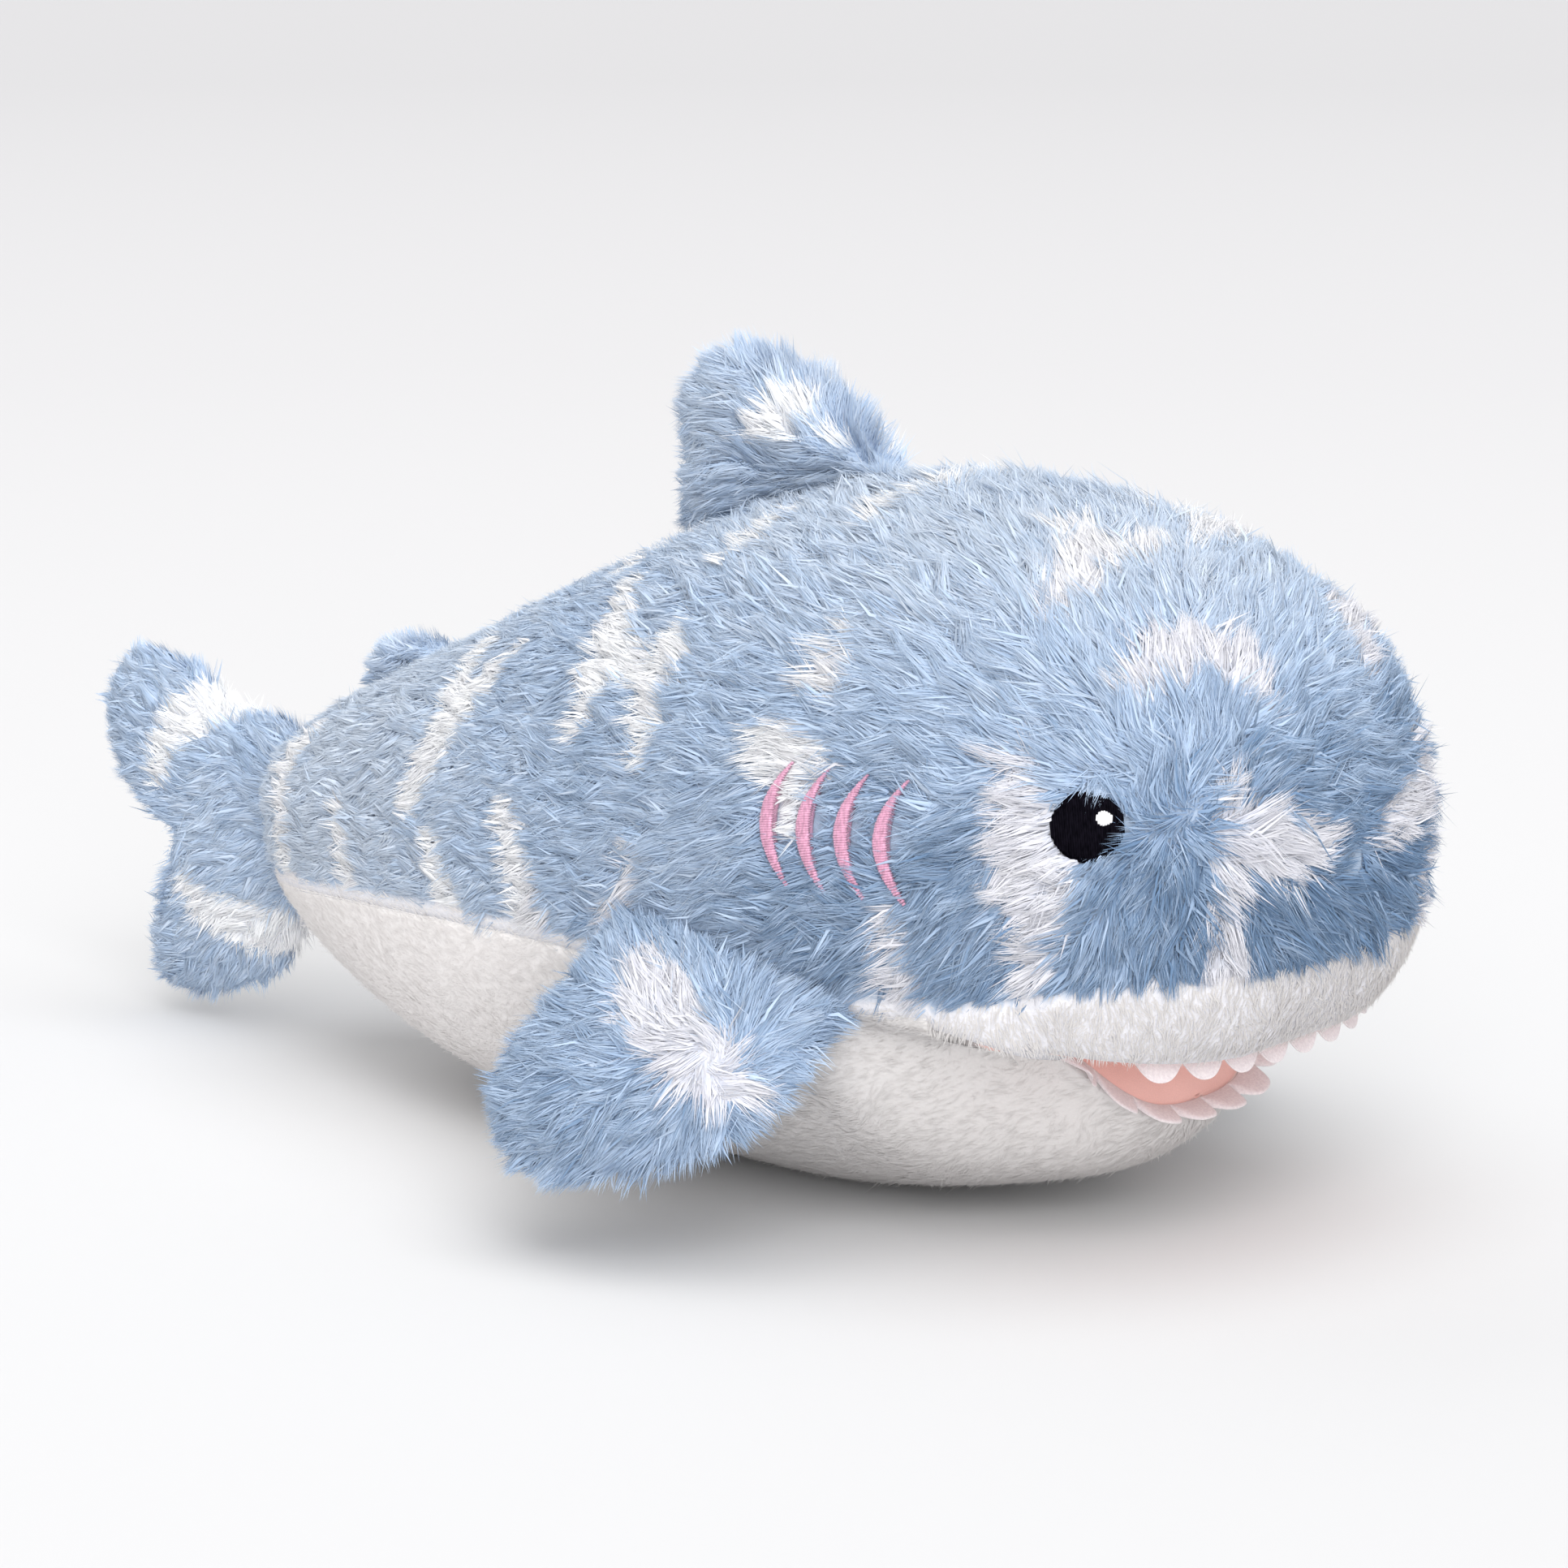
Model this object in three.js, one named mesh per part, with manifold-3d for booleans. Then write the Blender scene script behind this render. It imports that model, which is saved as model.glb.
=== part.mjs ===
// A plush shark: a stuffed body sewn from long-pile fabric, with five stuffed fins.
// Millimetres, +X towards the nose, +Y to the shark's left, +Z up.
// The origin is on the floor, under the belly. Outer faces are the tips of the pile.
import * as THREE from 'three';
import { mergeVertices } from 'three/addons/utils/BufferGeometryUtils.js';
import Module from 'manifold-3d';

const wasm = await Module();
wasm.setup();

// Body, over the pile.
const NOSE_X = 203;
const TAIL_STOCK_X = -180;
const BODY_HEIGHT = 199;
const BODY_WIDTH = 194;
const SNOUT_ROUND = 94;
const SNOUT_SQUARENESS = 2.68;
const STOCK_ROUND = 24;
const BACK_SQUARENESS = 2.2;
const BELLY_FLAT = 0.8;

// Stations from the tail stock (0) to the nose (1): place, back, belly, half width and widest
// level, as shares of the length, height, height, half of the width and height, and then how
// square the underside is.
const STATIONS = [
  [0.0, 0.47, 0.29, 0.25, 0.41, 2.4],
  [0.1, 0.58, 0.16, 0.44, 0.39, 2.3],
  [0.23, 0.7, 0.06, 0.63, 0.39, 2.3],
  [0.36, 0.82, 0.008, 0.78, 0.4, 2.15],
  [0.5, 0.935, 0, 0.9, 0.415, 2.05],
  [0.63, 0.998, 0, 0.98, 0.435, 2.0],
  [0.75, 0.99, 0.04, 1.0, 0.465, 2.15],
  [0.88, 0.955, 0.098, 0.96, 0.505, 2.6],
  [1.0, 0.94, 0.115, 0.89, 0.545, 2.8],
];

// Fabric.
const PILE = 8;
const FIN_PILE = 6;
const LINING = 2;
const FELT = 1.6;
const SEAM_GAP = 0.3;

// Seam between the blue sides and the white underside: height at stations along the body.
const SIDE_SEAM = [
  [0.0, 58],
  [0.2, 67],
  [0.45, 74],
  [0.7, 73],
  [0.85, 78],
  [0.95, 85],
  [1.0, 84],
];

// Mouth: the corner line lies behind and below the nose, and the two linings open forwards from it.
const MOUTH_DEPTH = 70;
const MOUTH_WIDTH = 148;
const MOUTH_CORNER_Z = 69;
const PALATE_SLOPE = 11;
const JAW_SLOPE = 57;
const JAW_SETBACK = 45;
const JAW_TUCK = 0.57;
const JAW_TUCK_LENGTH = 64;
const JAW_TUCK_DROP = 14;
const CHIN_ROUND = 30;
const SNOUT_UNDER_Z = 38;
const LINING_INSET = 2;

// Felt teeth, as two scalloped strips.
const TEETH = 8;
const TOOTH_PITCH = 14;
const TOOTH_LENGTH = 5.5;
const LOWER_TOOTH_LENGTH = 12;
const TOOTH_BAND = 1;
const TOOTH_INSET = 4;
const TOOTH_STEPS = 6;

// Eyes, embroidered in clipped pile, each with a raised glint.
const EYE_BACK = 32;
const EYE_Z = 126;
const EYE_RADIUS = 10.4;
const EYE_THICKNESS = 2.6;
const EYE_SINK = 2.2;
const GLINT_RADIUS = 2.4;
const GLINT_THICKNESS = 0.8;
const GLINT_OFFSET = 4.6;

// Gill stripes, satin-stitched crescents in clipped pile, hollow side forwards.
const GILLS = 4;
const GILL_X = 88;
const GILL_PITCH = 12.6;
const GILL_Z = 118.5;
const GILL_LENGTH = 31;
const GILL_BOW = 7;
const GILL_LEAN = 3;
const GILL_WIDTH = 4.6;
const GILL_TIP = 0.8;
const GILL_SINK = 2.6;
const GILL_STAND = 0.4;
const GILL_STEPS = 10;

// Fins: chord along the sewn root, height off the root, thickness over the pile, swing to
// each side in degrees, and an outline in shares of chord and height.
const DORSAL = {
  from: -20.6,
  to: 54.4,
  height: 47,
  thickness: 34,
  swing: 25,
  outline: [
    [-0.46, 0], [-0.46, 0.32], [-0.39, 0.8], [-0.12, 0.99], [0.1, 0.88], [0.32, 0.51], [0.45, 0.13], [0.46, 0],
  ],
};
const REAR = {
  from: -147.8,
  to: -111.5,
  height: 11,
  thickness: 16,
  pile: 3,
  swing: 25,
  outline: [[-0.42, 0], [-0.37, 0.5], [-0.2, 0.92], [-0.04, 1], [0.18, 0.68], [0.46, 0.08], [0.4, 0]],
};
const TAIL = {
  chord: 113,
  rootZ: 73,
  height: 80,
  thickness: 24,
  swing: 30,
  outline: [
    [0.2, 0], [0.29, 0.31], [0.37, 0.5], [0.39, 0.83], [0.25, 1], [0.07, 0.94], [-0.12, 0.62],
    [-0.34, 0.62], [-0.55, 0.74], [-0.6, 0.54], [-0.53, 0.18], [-0.34, 0.01], [-0.2, 0],
  ],
};
const PECTORAL = {
  x: 71,
  rootZ: 77,
  chord: 84,
  height: 74,
  thickness: 27,
  pitch: 10,
  splay: 38,
  swingIn: 8,
  swingOut: 50,
  outline: [
    [-0.43, 0], [-0.58, 0.35], [-0.6, 0.75], [-0.4, 0.97], [-0.15, 0.97], [0.12, 0.82],
    [0.4, 0.48], [0.46, 0.18], [0.4, 0],
  ],
};
const SWING_MARGIN = 4;

// Counts of facets.
const BODY_SIDES = 36;
const BODY_STEPS = 12;
const CORE_SIDES = 24;
const CORE_STEPS = 8;
const FIN_SIDES = 28;
const FIN_RINGS = 5;
const FILL_SIDES = 18;
const FILL_RINGS = 3;
const EYE_SIDES = 24;
const GLINT_SIDES = 12;

// Larger than the toy, for half spaces.
const FAR = 600;

const fabric = (color, roughness = 0.95) =>
  new THREE.MeshStandardMaterial({ color, roughness, metalness: 0 });
const BLUE_PILE = fabric(0xa4b9d6);
const WHITE_PILE = fabric(0xeeedf0);
const PINK_LINING = fabric(0xe2a8a1, 0.8);
const WHITE_FELT = fabric(0xe9e4e8, 0.9);
const BLACK_THREAD = fabric(0x121017, 0.6);
const WHITE_THREAD = fabric(0xf4f4f6, 0.5);
const PINK_THREAD = fabric(0xe496be, 0.45);
const FIBRE_FILL = fabric(0xf2f0ea, 1);

// Closed solids and their joins and cuts.

function solidOf(geometry) {
  const bare = geometry.index ? geometry.toNonIndexed() : geometry.clone();
  bare.deleteAttribute('normal');
  bare.deleteAttribute('uv');
  const merged = mergeVertices(bare, 1e-4);
  return new wasm.Manifold(new wasm.Mesh({
    numProp: 3,
    vertProperties: new Float32Array(merged.attributes.position.array),
    triVerts: new Uint32Array(merged.index.array),
  }));
}

function meshOf(name, solid, material) {
  const { vertProperties, triVerts } = solid.getMesh();
  const geometry = new THREE.BufferGeometry();
  geometry.setAttribute('position', new THREE.BufferAttribute(vertProperties, 3));
  geometry.setIndex(new THREE.BufferAttribute(triVerts, 1));
  geometry.computeVertexNormals();
  const mesh = new THREE.Mesh(geometry, material);
  mesh.name = name;
  return mesh;
}

// A closed skin over rings of points, capped at both ends by one point each.
function ringsSolid(start, rings, end) {
  const sides = rings[0].length;
  const points = [start, ...rings.flat(), end];
  const last = points.length - 1;
  const index = [];
  const at = (ring, side) => 1 + ring * sides + (side % sides);
  for (let side = 0; side < sides; side += 1) {
    index.push(0, at(0, side + 1), at(0, side));
    index.push(last, at(rings.length - 1, side), at(rings.length - 1, side + 1));
  }
  for (let ring = 0; ring + 1 < rings.length; ring += 1) {
    for (let side = 0; side < sides; side += 1) {
      index.push(at(ring, side), at(ring, side + 1), at(ring + 1, side));
      index.push(at(ring, side + 1), at(ring + 1, side + 1), at(ring + 1, side));
    }
  }
  return facing(points, index);
}

// A bar of four-cornered sections, closed by flat ends.
function barSolid(sections) {
  const points = sections.flat();
  const index = [];
  const at = (section, corner) => section * 4 + (corner % 4);
  for (let section = 0; section + 1 < sections.length; section += 1) {
    for (let corner = 0; corner < 4; corner += 1) {
      index.push(at(section, corner), at(section, corner + 1), at(section + 1, corner));
      index.push(at(section, corner + 1), at(section + 1, corner + 1), at(section + 1, corner));
    }
  }
  const end = sections.length - 1;
  index.push(at(0, 0), at(0, 2), at(0, 1), at(0, 0), at(0, 3), at(0, 2));
  index.push(at(end, 0), at(end, 1), at(end, 2), at(end, 0), at(end, 2), at(end, 3));
  return facing(points, index);
}

// The solid of a triangle list, turned so that its faces point out.
function facing(points, index) {
  let volume = 0;
  for (let i = 0; i < index.length; i += 3) {
    const [a, b, c] = [points[index[i]], points[index[i + 1]], points[index[i + 2]]];
    volume += a.dot(b.clone().cross(c));
  }
  const order = volume > 0 ? index : index.slice().reverse();
  const geometry = new THREE.BufferGeometry().setFromPoints(points);
  geometry.setIndex(order);
  return solidOf(geometry);
}

// The prism over a side outline of [x, z] points, reaching as far to either side.
function sidePrism(outline, reach = FAR) {
  const shape = new THREE.Shape(outline.map(([x, z]) => new THREE.Vector2(x, z)));
  const geometry = new THREE.ExtrudeGeometry(shape, { depth: 2 * reach, bevelEnabled: false });
  geometry.translate(0, 0, -reach);
  geometry.rotateX(Math.PI / 2);
  return solidOf(geometry);
}

// The half space on one side of the middle plane, short of it by half a seam gap.
function sideHalf(side) {
  const geometry = new THREE.BoxGeometry(2 * FAR, FAR, 2 * FAR);
  geometry.translate(0, side * (FAR + SEAM_GAP) / 2, 0);
  return solidOf(geometry);
}

// The stuffed body as a loft of squared ellipses.

const stationCurve = new THREE.CubicInterpolant(
  STATIONS.map((row) => row[0]),
  STATIONS.flatMap((row) => row.slice(1)),
  STATIONS[0].length - 1,
  new Float32Array(STATIONS[0].length - 1),
);
const seamCurve = new THREE.CubicInterpolant(
  SIDE_SEAM.map((row) => row[0]),
  SIDE_SEAM.map((row) => row[1]),
  1,
  new Float32Array(1),
);
const BODY_LENGTH = NOSE_X - TAIL_STOCK_X;
const JAW_FRONT_X = NOSE_X - JAW_SETBACK;
const MOUTH_CORNER_X = NOSE_X - MOUTH_DEPTH;
const EYE_X = NOSE_X - EYE_BACK;

const alongBody = (x) => THREE.MathUtils.clamp((x - TAIL_STOCK_X) / BODY_LENGTH, 0, 1);
const seamZ = (x) => seamCurve.evaluate(alongBody(x))[0];
const roundOff = (share, power) => (1 - THREE.MathUtils.clamp(share, 0, 1) ** power) ** (1 / power);

// Half width, middle level, reach up and down and squareness of the section at x, drawn in by an inset.
function sectionAt(x, inset) {
  const [back, belly, width, level, square] = stationCurve.evaluate(alongBody(x));
  const front = roundOff((x - NOSE_X + SNOUT_ROUND) / (SNOUT_ROUND - inset), SNOUT_SQUARENESS);
  const rear = roundOff((TAIL_STOCK_X + STOCK_ROUND - x) / (STOCK_ROUND - inset), 2);
  const centre = level * BODY_HEIGHT;
  const chin = (x - JAW_FRONT_X + CHIN_ROUND) / (CHIN_ROUND - inset);
  const underSnout = (centre - SNOUT_UNDER_Z - inset) * front;
  const underBelly = (centre - belly * BODY_HEIGHT + BELLY_FLAT - inset) * rear;
  return {
    centre,
    half: (width * BODY_WIDTH / 2 - inset) * front * rear,
    up: (back * BODY_HEIGHT - centre - inset) * front * rear,
    down: chin < 1 ? THREE.MathUtils.lerp(underSnout, underBelly, roundOff(chin, 2)) : underSnout,
    square,
  };
}

const palateSlope = Math.tan(THREE.MathUtils.degToRad(PALATE_SLOPE));
const jawSlope = Math.tan(THREE.MathUtils.degToRad(JAW_SLOPE));
const palateZ = (x) => MOUTH_CORNER_Z - palateSlope * (x - MOUTH_CORNER_X);
const jawZ = (x) => MOUTH_CORNER_Z - jawSlope * (x - MOUTH_CORNER_X);

// How much of the full width is left at a place: the jaw narrows below the palate.
function jawWidth(x, z) {
  const forward = THREE.MathUtils.smoothstep(x, JAW_FRONT_X - JAW_TUCK_LENGTH, JAW_FRONT_X);
  const below = THREE.MathUtils.smoothstep(palateZ(x) - z, 0, JAW_TUCK_DROP);
  return 1 - JAW_TUCK * forward * below;
}

const squared = (value, squareness) => Math.sign(value) * Math.abs(value) ** (2 / squareness);

function sectionRing(x, inset, sides) {
  const { centre, half, up, down, square } = sectionAt(x, inset);
  const outside = sectionAt(x, 0);
  return Array.from({ length: sides }, (_, side) => {
    const angle = 2 * Math.PI * side / sides;
    const rise = Math.cos(angle);
    const squareness = rise > 0 ? BACK_SQUARENESS : square;
    const height = squared(rise, squareness);
    const width = half * jawWidth(x, centre + outside.down * height);
    return new THREE.Vector3(
      x,
      -width * squared(Math.sin(angle), squareness),
      centre + (rise > 0 ? up : down) * height,
    );
  });
}

// Section places: close together round the tail stock, the chin and the snout.
function sectionPlaces(inset, steps) {
  const quarter = (count) => Array.from({ length: count }, (_, i) => Math.PI / 2 * (i + 1) / (count + 1));
  const stockEnd = TAIL_STOCK_X + STOCK_ROUND;
  const snoutStart = NOSE_X - SNOUT_ROUND;
  const jawFront = JAW_FRONT_X - inset;
  const places = [
    ...quarter(3).map((a) => stockEnd - (STOCK_ROUND - inset) * Math.cos(a)),
    ...Array.from({ length: steps }, (_, i) => THREE.MathUtils.lerp(stockEnd, snoutStart, i / (steps - 1))),
    ...quarter(steps - 3).map((a) => snoutStart + (SNOUT_ROUND - inset) * Math.sin(a)),
    ...quarter(3).map((a) => jawFront - (CHIN_ROUND - inset) * (1 - Math.sin(a))),
    jawFront - 0.1,
    jawFront + 0.4,
  ];
  return places.sort((a, b) => a - b);
}

function bodyLoft(inset, sides, steps) {
  const tail = TAIL_STOCK_X + inset;
  const nose = NOSE_X - inset;
  return ringsSolid(
    new THREE.Vector3(tail, 0, sectionAt(tail, inset).centre),
    sectionPlaces(inset, steps).map((x) => sectionRing(x, inset, sides)),
    new THREE.Vector3(nose, 0, sectionAt(nose, inset).centre),
  );
}

const backZ = (x) => sectionAt(x, 0).centre + sectionAt(x, 0).up;

// Half width of the body at a place and a height.
function halfWidthAt(x, z, inset = 0) {
  const { centre, half, up, down, square } = sectionAt(x, inset);
  const reach = z > centre ? up : down;
  const squareness = z > centre ? BACK_SQUARENESS : square;
  return half * roundOff(Math.abs(z - centre) / Math.max(reach, 1e-6), squareness) * jawWidth(x, z);
}

// A point of the flank and the direction out of it; side is -1 on the right and 1 on the left.
function flankPoint(x, z, side) {
  return new THREE.Vector3(x, side * halfWidthAt(x, z), z);
}

function flankNormal(x, z, side) {
  const step = 0.5;
  const along = flankPoint(x + step, z, side).sub(flankPoint(x - step, z, side));
  const rise = flankPoint(x, z + step, side).sub(flankPoint(x, z - step, side));
  return rise.cross(along).multiplyScalar(side).normalize();
}

// Mouth.

// The open wedge of the mouth, grown on its two faces, with a clearance at its sides.
function mouthWedge(grow, sideGap) {
  const rise = grow * Math.hypot(1, palateSlope);
  const drop = grow * Math.hypot(1, jawSlope);
  const back = (rise + drop) / (jawSlope - palateSlope);
  const apex = MOUTH_CORNER_X - back;
  const front = NOSE_X + SNOUT_ROUND;
  const wedge = [
    [apex, palateZ(apex) + rise],
    [front, jawZ(front) - drop],
    [front, palateZ(front) + rise],
  ];
  return sidePrism(wedge, MOUTH_WIDTH / 2 + sideGap);
}

const mouthSeam = (() => {
  const grow = LINING + SEAM_GAP;
  const rise = grow * Math.hypot(1, palateSlope);
  const back = (rise + grow * Math.hypot(1, jawSlope)) / (jawSlope - palateSlope);
  const x = MOUTH_CORNER_X - back;
  return { x, z: palateZ(x) + rise };
})();

// Everything above the middle of the mouth and in front of its corner, shifted apart by a gap.
function aboveMouth(gap) {
  const middle = Math.tan(THREE.MathUtils.degToRad((PALATE_SLOPE + JAW_SLOPE) / 2));
  const start = mouthSeam.x + gap;
  return sidePrism([
    [start, mouthSeam.z + gap],
    [FAR, mouthSeam.z + gap - middle * (FAR - start)],
    [FAR, FAR],
    [start, FAR],
  ]);
}

// Everything above the seam line along the flank, raised by a lift.
function aboveSeam(lift) {
  const steps = 24;
  const line = Array.from({ length: steps + 1 }, (_, i) => {
    const x = THREE.MathUtils.lerp(TAIL_STOCK_X, NOSE_X, i / steps);
    return [x, seamZ(x) + lift];
  });
  return sidePrism([
    [-FAR, line[0][1]],
    ...line,
    [FAR, line[steps][1]],
    [FAR, FAR],
    [-FAR, FAR],
  ]);
}

function bodyPieces() {
  const floor = new THREE.BoxGeometry(2 * FAR, 2 * FAR, FAR).translate(0, 0, -FAR / 2);
  const outer = bodyLoft(0, BODY_SIDES, BODY_STEPS).subtract(solidOf(floor));
  const core = bodyLoft(PILE, CORE_SIDES, CORE_STEPS);
  const mouthRoom = mouthWedge(LINING + SEAM_GAP, SEAM_GAP);
  const shell = outer.subtract(core).subtract(mouthRoom);
  const sides = shell.intersect(aboveSeam(SEAM_GAP / 2));
  const white = shell.subtract(aboveSeam(-SEAM_GAP / 2));
  const lining = bodyLoft(LINING_INSET, CORE_SIDES, CORE_STEPS)
    .intersect(mouthWedge(LINING, 0))
    .subtract(mouthWedge(0, SEAM_GAP));
  return {
    right: sides.intersect(sideHalf(-1)),
    left: sides.intersect(sideHalf(1)),
    belly: white.subtract(aboveMouth(-SEAM_GAP / 2)),
    lip: white.intersect(aboveMouth(SEAM_GAP / 2)),
    palate: lining.intersect(aboveMouth(SEAM_GAP / 2)),
    mouthFloor: lining.subtract(aboveMouth(-SEAM_GAP / 2)),
    stuffing: bodyLoft(PILE + SEAM_GAP, CORE_SIDES, CORE_STEPS).subtract(mouthRoom),
  };
}

// Felt teeth.

// The place on a lip of the given height line, at a distance y from the middle.
function lipX(y, heightAt, inset) {
  let near = MOUTH_CORNER_X;
  let far = NOSE_X - inset;
  for (let i = 0; i < 40; i += 1) {
    const x = (near + far) / 2;
    if (halfWidthAt(x, heightAt(x), inset) > Math.abs(y)) near = x;
    else far = x;
  }
  return near;
}

// A lip line as a curve from right to left, as wide as its row of teeth.
function lipCurve(heightAt, inset) {
  const reach = MOUTH_WIDTH / 2 - inset;
  const points = Array.from({ length: 41 }, (_, i) => {
    const y = THREE.MathUtils.lerp(-reach, reach, i / 40);
    const x = lipX(y, heightAt, inset);
    return new THREE.Vector3(x, y, heightAt(x));
  });
  return new THREE.CatmullRomCurve3(points);
}

// A strip of teeth along a lip: each section runs from the seam out along the way that
// the teeth point, as far as the scallop reaches there.
function toothStrip(curve, length, pointing, thickness) {
  const arc = curve.getLength();
  const steps = TEETH * TOOTH_STEPS;
  const sections = Array.from({ length: steps + 1 }, (_, i) => {
    const along = (i / TOOTH_STEPS - TEETH / 2) * TOOTH_PITCH;
    const at = 0.5 + along / arc;
    const root = curve.getPointAt(at);
    const tangent = curve.getTangentAt(at);
    const outward = new THREE.Vector3(-tangent.y, tangent.x, 0).normalize().negate();
    const phase = 2 * ((i / TOOTH_STEPS) % 1) - 1;
    const way = pointing(outward).multiplyScalar(TOOTH_BAND + length * (1 - Math.abs(phase) ** 2.4));
    const thick = thickness(outward);
    const tip = root.clone().add(way);
    return [root, tip, tip.clone().add(thick), root.clone().add(thick)];
  });
  return barSolid(sections);
}

function teeth() {
  const hang = (outward) => new THREE.Vector3(0, 0, -1).addScaledVector(outward, 0.25).normalize();
  const jut = (outward) => outward.clone().add(new THREE.Vector3(0, 0, -0.08)).normalize();
  const upper = lipCurve((x) => palateZ(x) - SEAM_GAP, TOOTH_INSET);
  const lower = lipCurve((x) => jawZ(x) + 2 * SEAM_GAP, TOOTH_INSET);
  return {
    upper: toothStrip(upper, TOOTH_LENGTH, hang, (outward) => outward.clone().multiplyScalar(-FELT)),
    lower: toothStrip(lower, LOWER_TOOTH_LENGTH, jut, () => new THREE.Vector3(0, 0, FELT)),
  };
}

// Eyes.

// A low dome turned round the Z axis, standing on a flat back.
function dome(radius, thickness, crown, sides) {
  const profile = [
    [0, 0],
    [radius, 0],
    [radius, thickness - crown],
    [radius * 0.6, thickness - crown * 0.2],
    [0, thickness],
  ].map(([r, h]) => new THREE.Vector2(r, h));
  return new THREE.LatheGeometry(profile, sides).rotateX(Math.PI / 2);
}

// Moves a shape that stands on the XY plane to a flank point, facing out.
function setOnFlank(geometry, x, z, side, lift) {
  const normal = flankNormal(x, z, side);
  const place = flankPoint(x, z, side).addScaledVector(normal, lift);
  const forward = new THREE.Vector3(1, 0, 0).addScaledVector(normal, -normal.x).normalize();
  const basis = new THREE.Matrix4().makeBasis(forward, normal.clone().cross(forward), normal);
  return geometry.clone().applyMatrix4(basis.setPosition(place));
}

function eyePieces(side) {
  const pocket = new THREE.CylinderGeometry(EYE_RADIUS + SEAM_GAP, EYE_RADIUS + SEAM_GAP, PILE, EYE_SIDES);
  pocket.rotateX(Math.PI / 2).translate(0, 0, PILE / 2);
  const crown = EYE_THICKNESS / 2;
  const ball = dome(EYE_RADIUS, EYE_THICKNESS, crown, EYE_SIDES);
  const glint = dome(GLINT_RADIUS, GLINT_THICKNESS, GLINT_THICKNESS / 2, GLINT_SIDES);
  const up = -side * GLINT_OFFSET * 0.6;
  glint.translate(GLINT_OFFSET * 0.8, up, EYE_THICKNESS - crown * 0.1 + SEAM_GAP);
  return {
    pocket: solidOf(setOnFlank(pocket, EYE_X, EYE_Z, side, -EYE_SINK - SEAM_GAP)),
    eye: solidOf(setOnFlank(ball, EYE_X, EYE_Z, side, -EYE_SINK)),
    glint: solidOf(setOnFlank(glint, EYE_X, EYE_Z, side, -EYE_SINK)),
  };
}

// Gills.

// A crescent on the flank between two depths, grown all round.
function crescent(gillX, side, grow, bottom, top) {
  const sections = Array.from({ length: GILL_STEPS + 1 }, (_, i) => {
    const share = 2 * i / GILL_STEPS - 1;
    const middle = gillX - GILL_BOW * (1 - share ** 2) - GILL_LEAN * share / 2;
    const half = (GILL_TIP + (GILL_WIDTH - GILL_TIP) * (1 - share ** 2)) / 2 + grow;
    const z = GILL_Z + share * (GILL_LENGTH / 2 + grow);
    const corner = (x, lift) => flankPoint(x, z, side).addScaledVector(flankNormal(x, z, side), lift);
    return [
      corner(middle - half, bottom),
      corner(middle + half, bottom),
      corner(middle + half, top),
      corner(middle - half, top),
    ];
  });
  return barSolid(sections);
}

function gillPieces(side, number) {
  const x = GILL_X + number * GILL_PITCH;
  return {
    pocket: crescent(x, side, SEAM_GAP, -GILL_SINK - SEAM_GAP, PILE),
    stripe: crescent(x, side, 0, -GILL_SINK, GILL_STAND),
  };
}

// Fins, made flat: chord along X, height along Y, thickness along Z, root on the X axis.

// A stuffed pillow over an outline, thickest in the middle, drawn in by an inset.
function pillow(outline, chord, height, thickness, inset) {
  const [sides, rings] = inset > 0 ? [FILL_SIDES, FILL_RINGS] : [FIN_SIDES, FIN_RINGS];
  const rim = new THREE.CatmullRomCurve3(
    outline.map(([c, s]) => new THREE.Vector3(c * chord, s * height, 0)),
    true,
  ).getSpacedPoints(sides).slice(0, sides);
  const centre = new THREE.Box3().setFromPoints(rim).getCenter(new THREE.Vector3());
  const crown = thickness / 2 - inset;
  const shrink = 1 - inset / Math.min(...rim.map((point) => point.distanceTo(centre)));
  const ring = (angle) => rim.map((point) => point.clone()
    .lerp(centre, 1 - shrink * Math.sin(angle) ** 0.8)
    .setZ(crown * Math.cos(angle)));
  const angles = Array.from({ length: rings }, (_, i) => Math.PI * (i + 1) / (rings + 1));
  return ringsSolid(
    centre.clone().setZ(crown),
    angles.map(ring),
    centre.clone().setZ(-crown),
  );
}

// The room in which a fin can turn about its root without touching the body: a wedge along
// the root, opening by an angle to the front and the back of the fin's middle plane.
function swingRoom({ front, back }, setback) {
  const open = (degrees) => FAR * Math.tan(THREE.MathUtils.degToRad(degrees));
  const shape = new THREE.Shape([
    new THREE.Vector2(setback, 0),
    new THREE.Vector2(setback + FAR, -open(back)),
    new THREE.Vector2(setback + FAR, open(front)),
  ]);
  const geometry = new THREE.ExtrudeGeometry(shape, { depth: 2 * FAR, bevelEnabled: false });
  geometry.translate(0, 0, -FAR);
  geometry.applyMatrix4(new THREE.Matrix4().makeBasis(
    new THREE.Vector3(0, 1, 0),
    new THREE.Vector3(0, 0, 1),
    new THREE.Vector3(1, 0, 0),
  ));
  return solidOf(geometry);
}

function finHalf(front) {
  const geometry = new THREE.BoxGeometry(2 * FAR, 2 * FAR, FAR);
  geometry.translate(0, 0, front * (FAR + SEAM_GAP) / 2);
  return solidOf(geometry);
}

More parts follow.
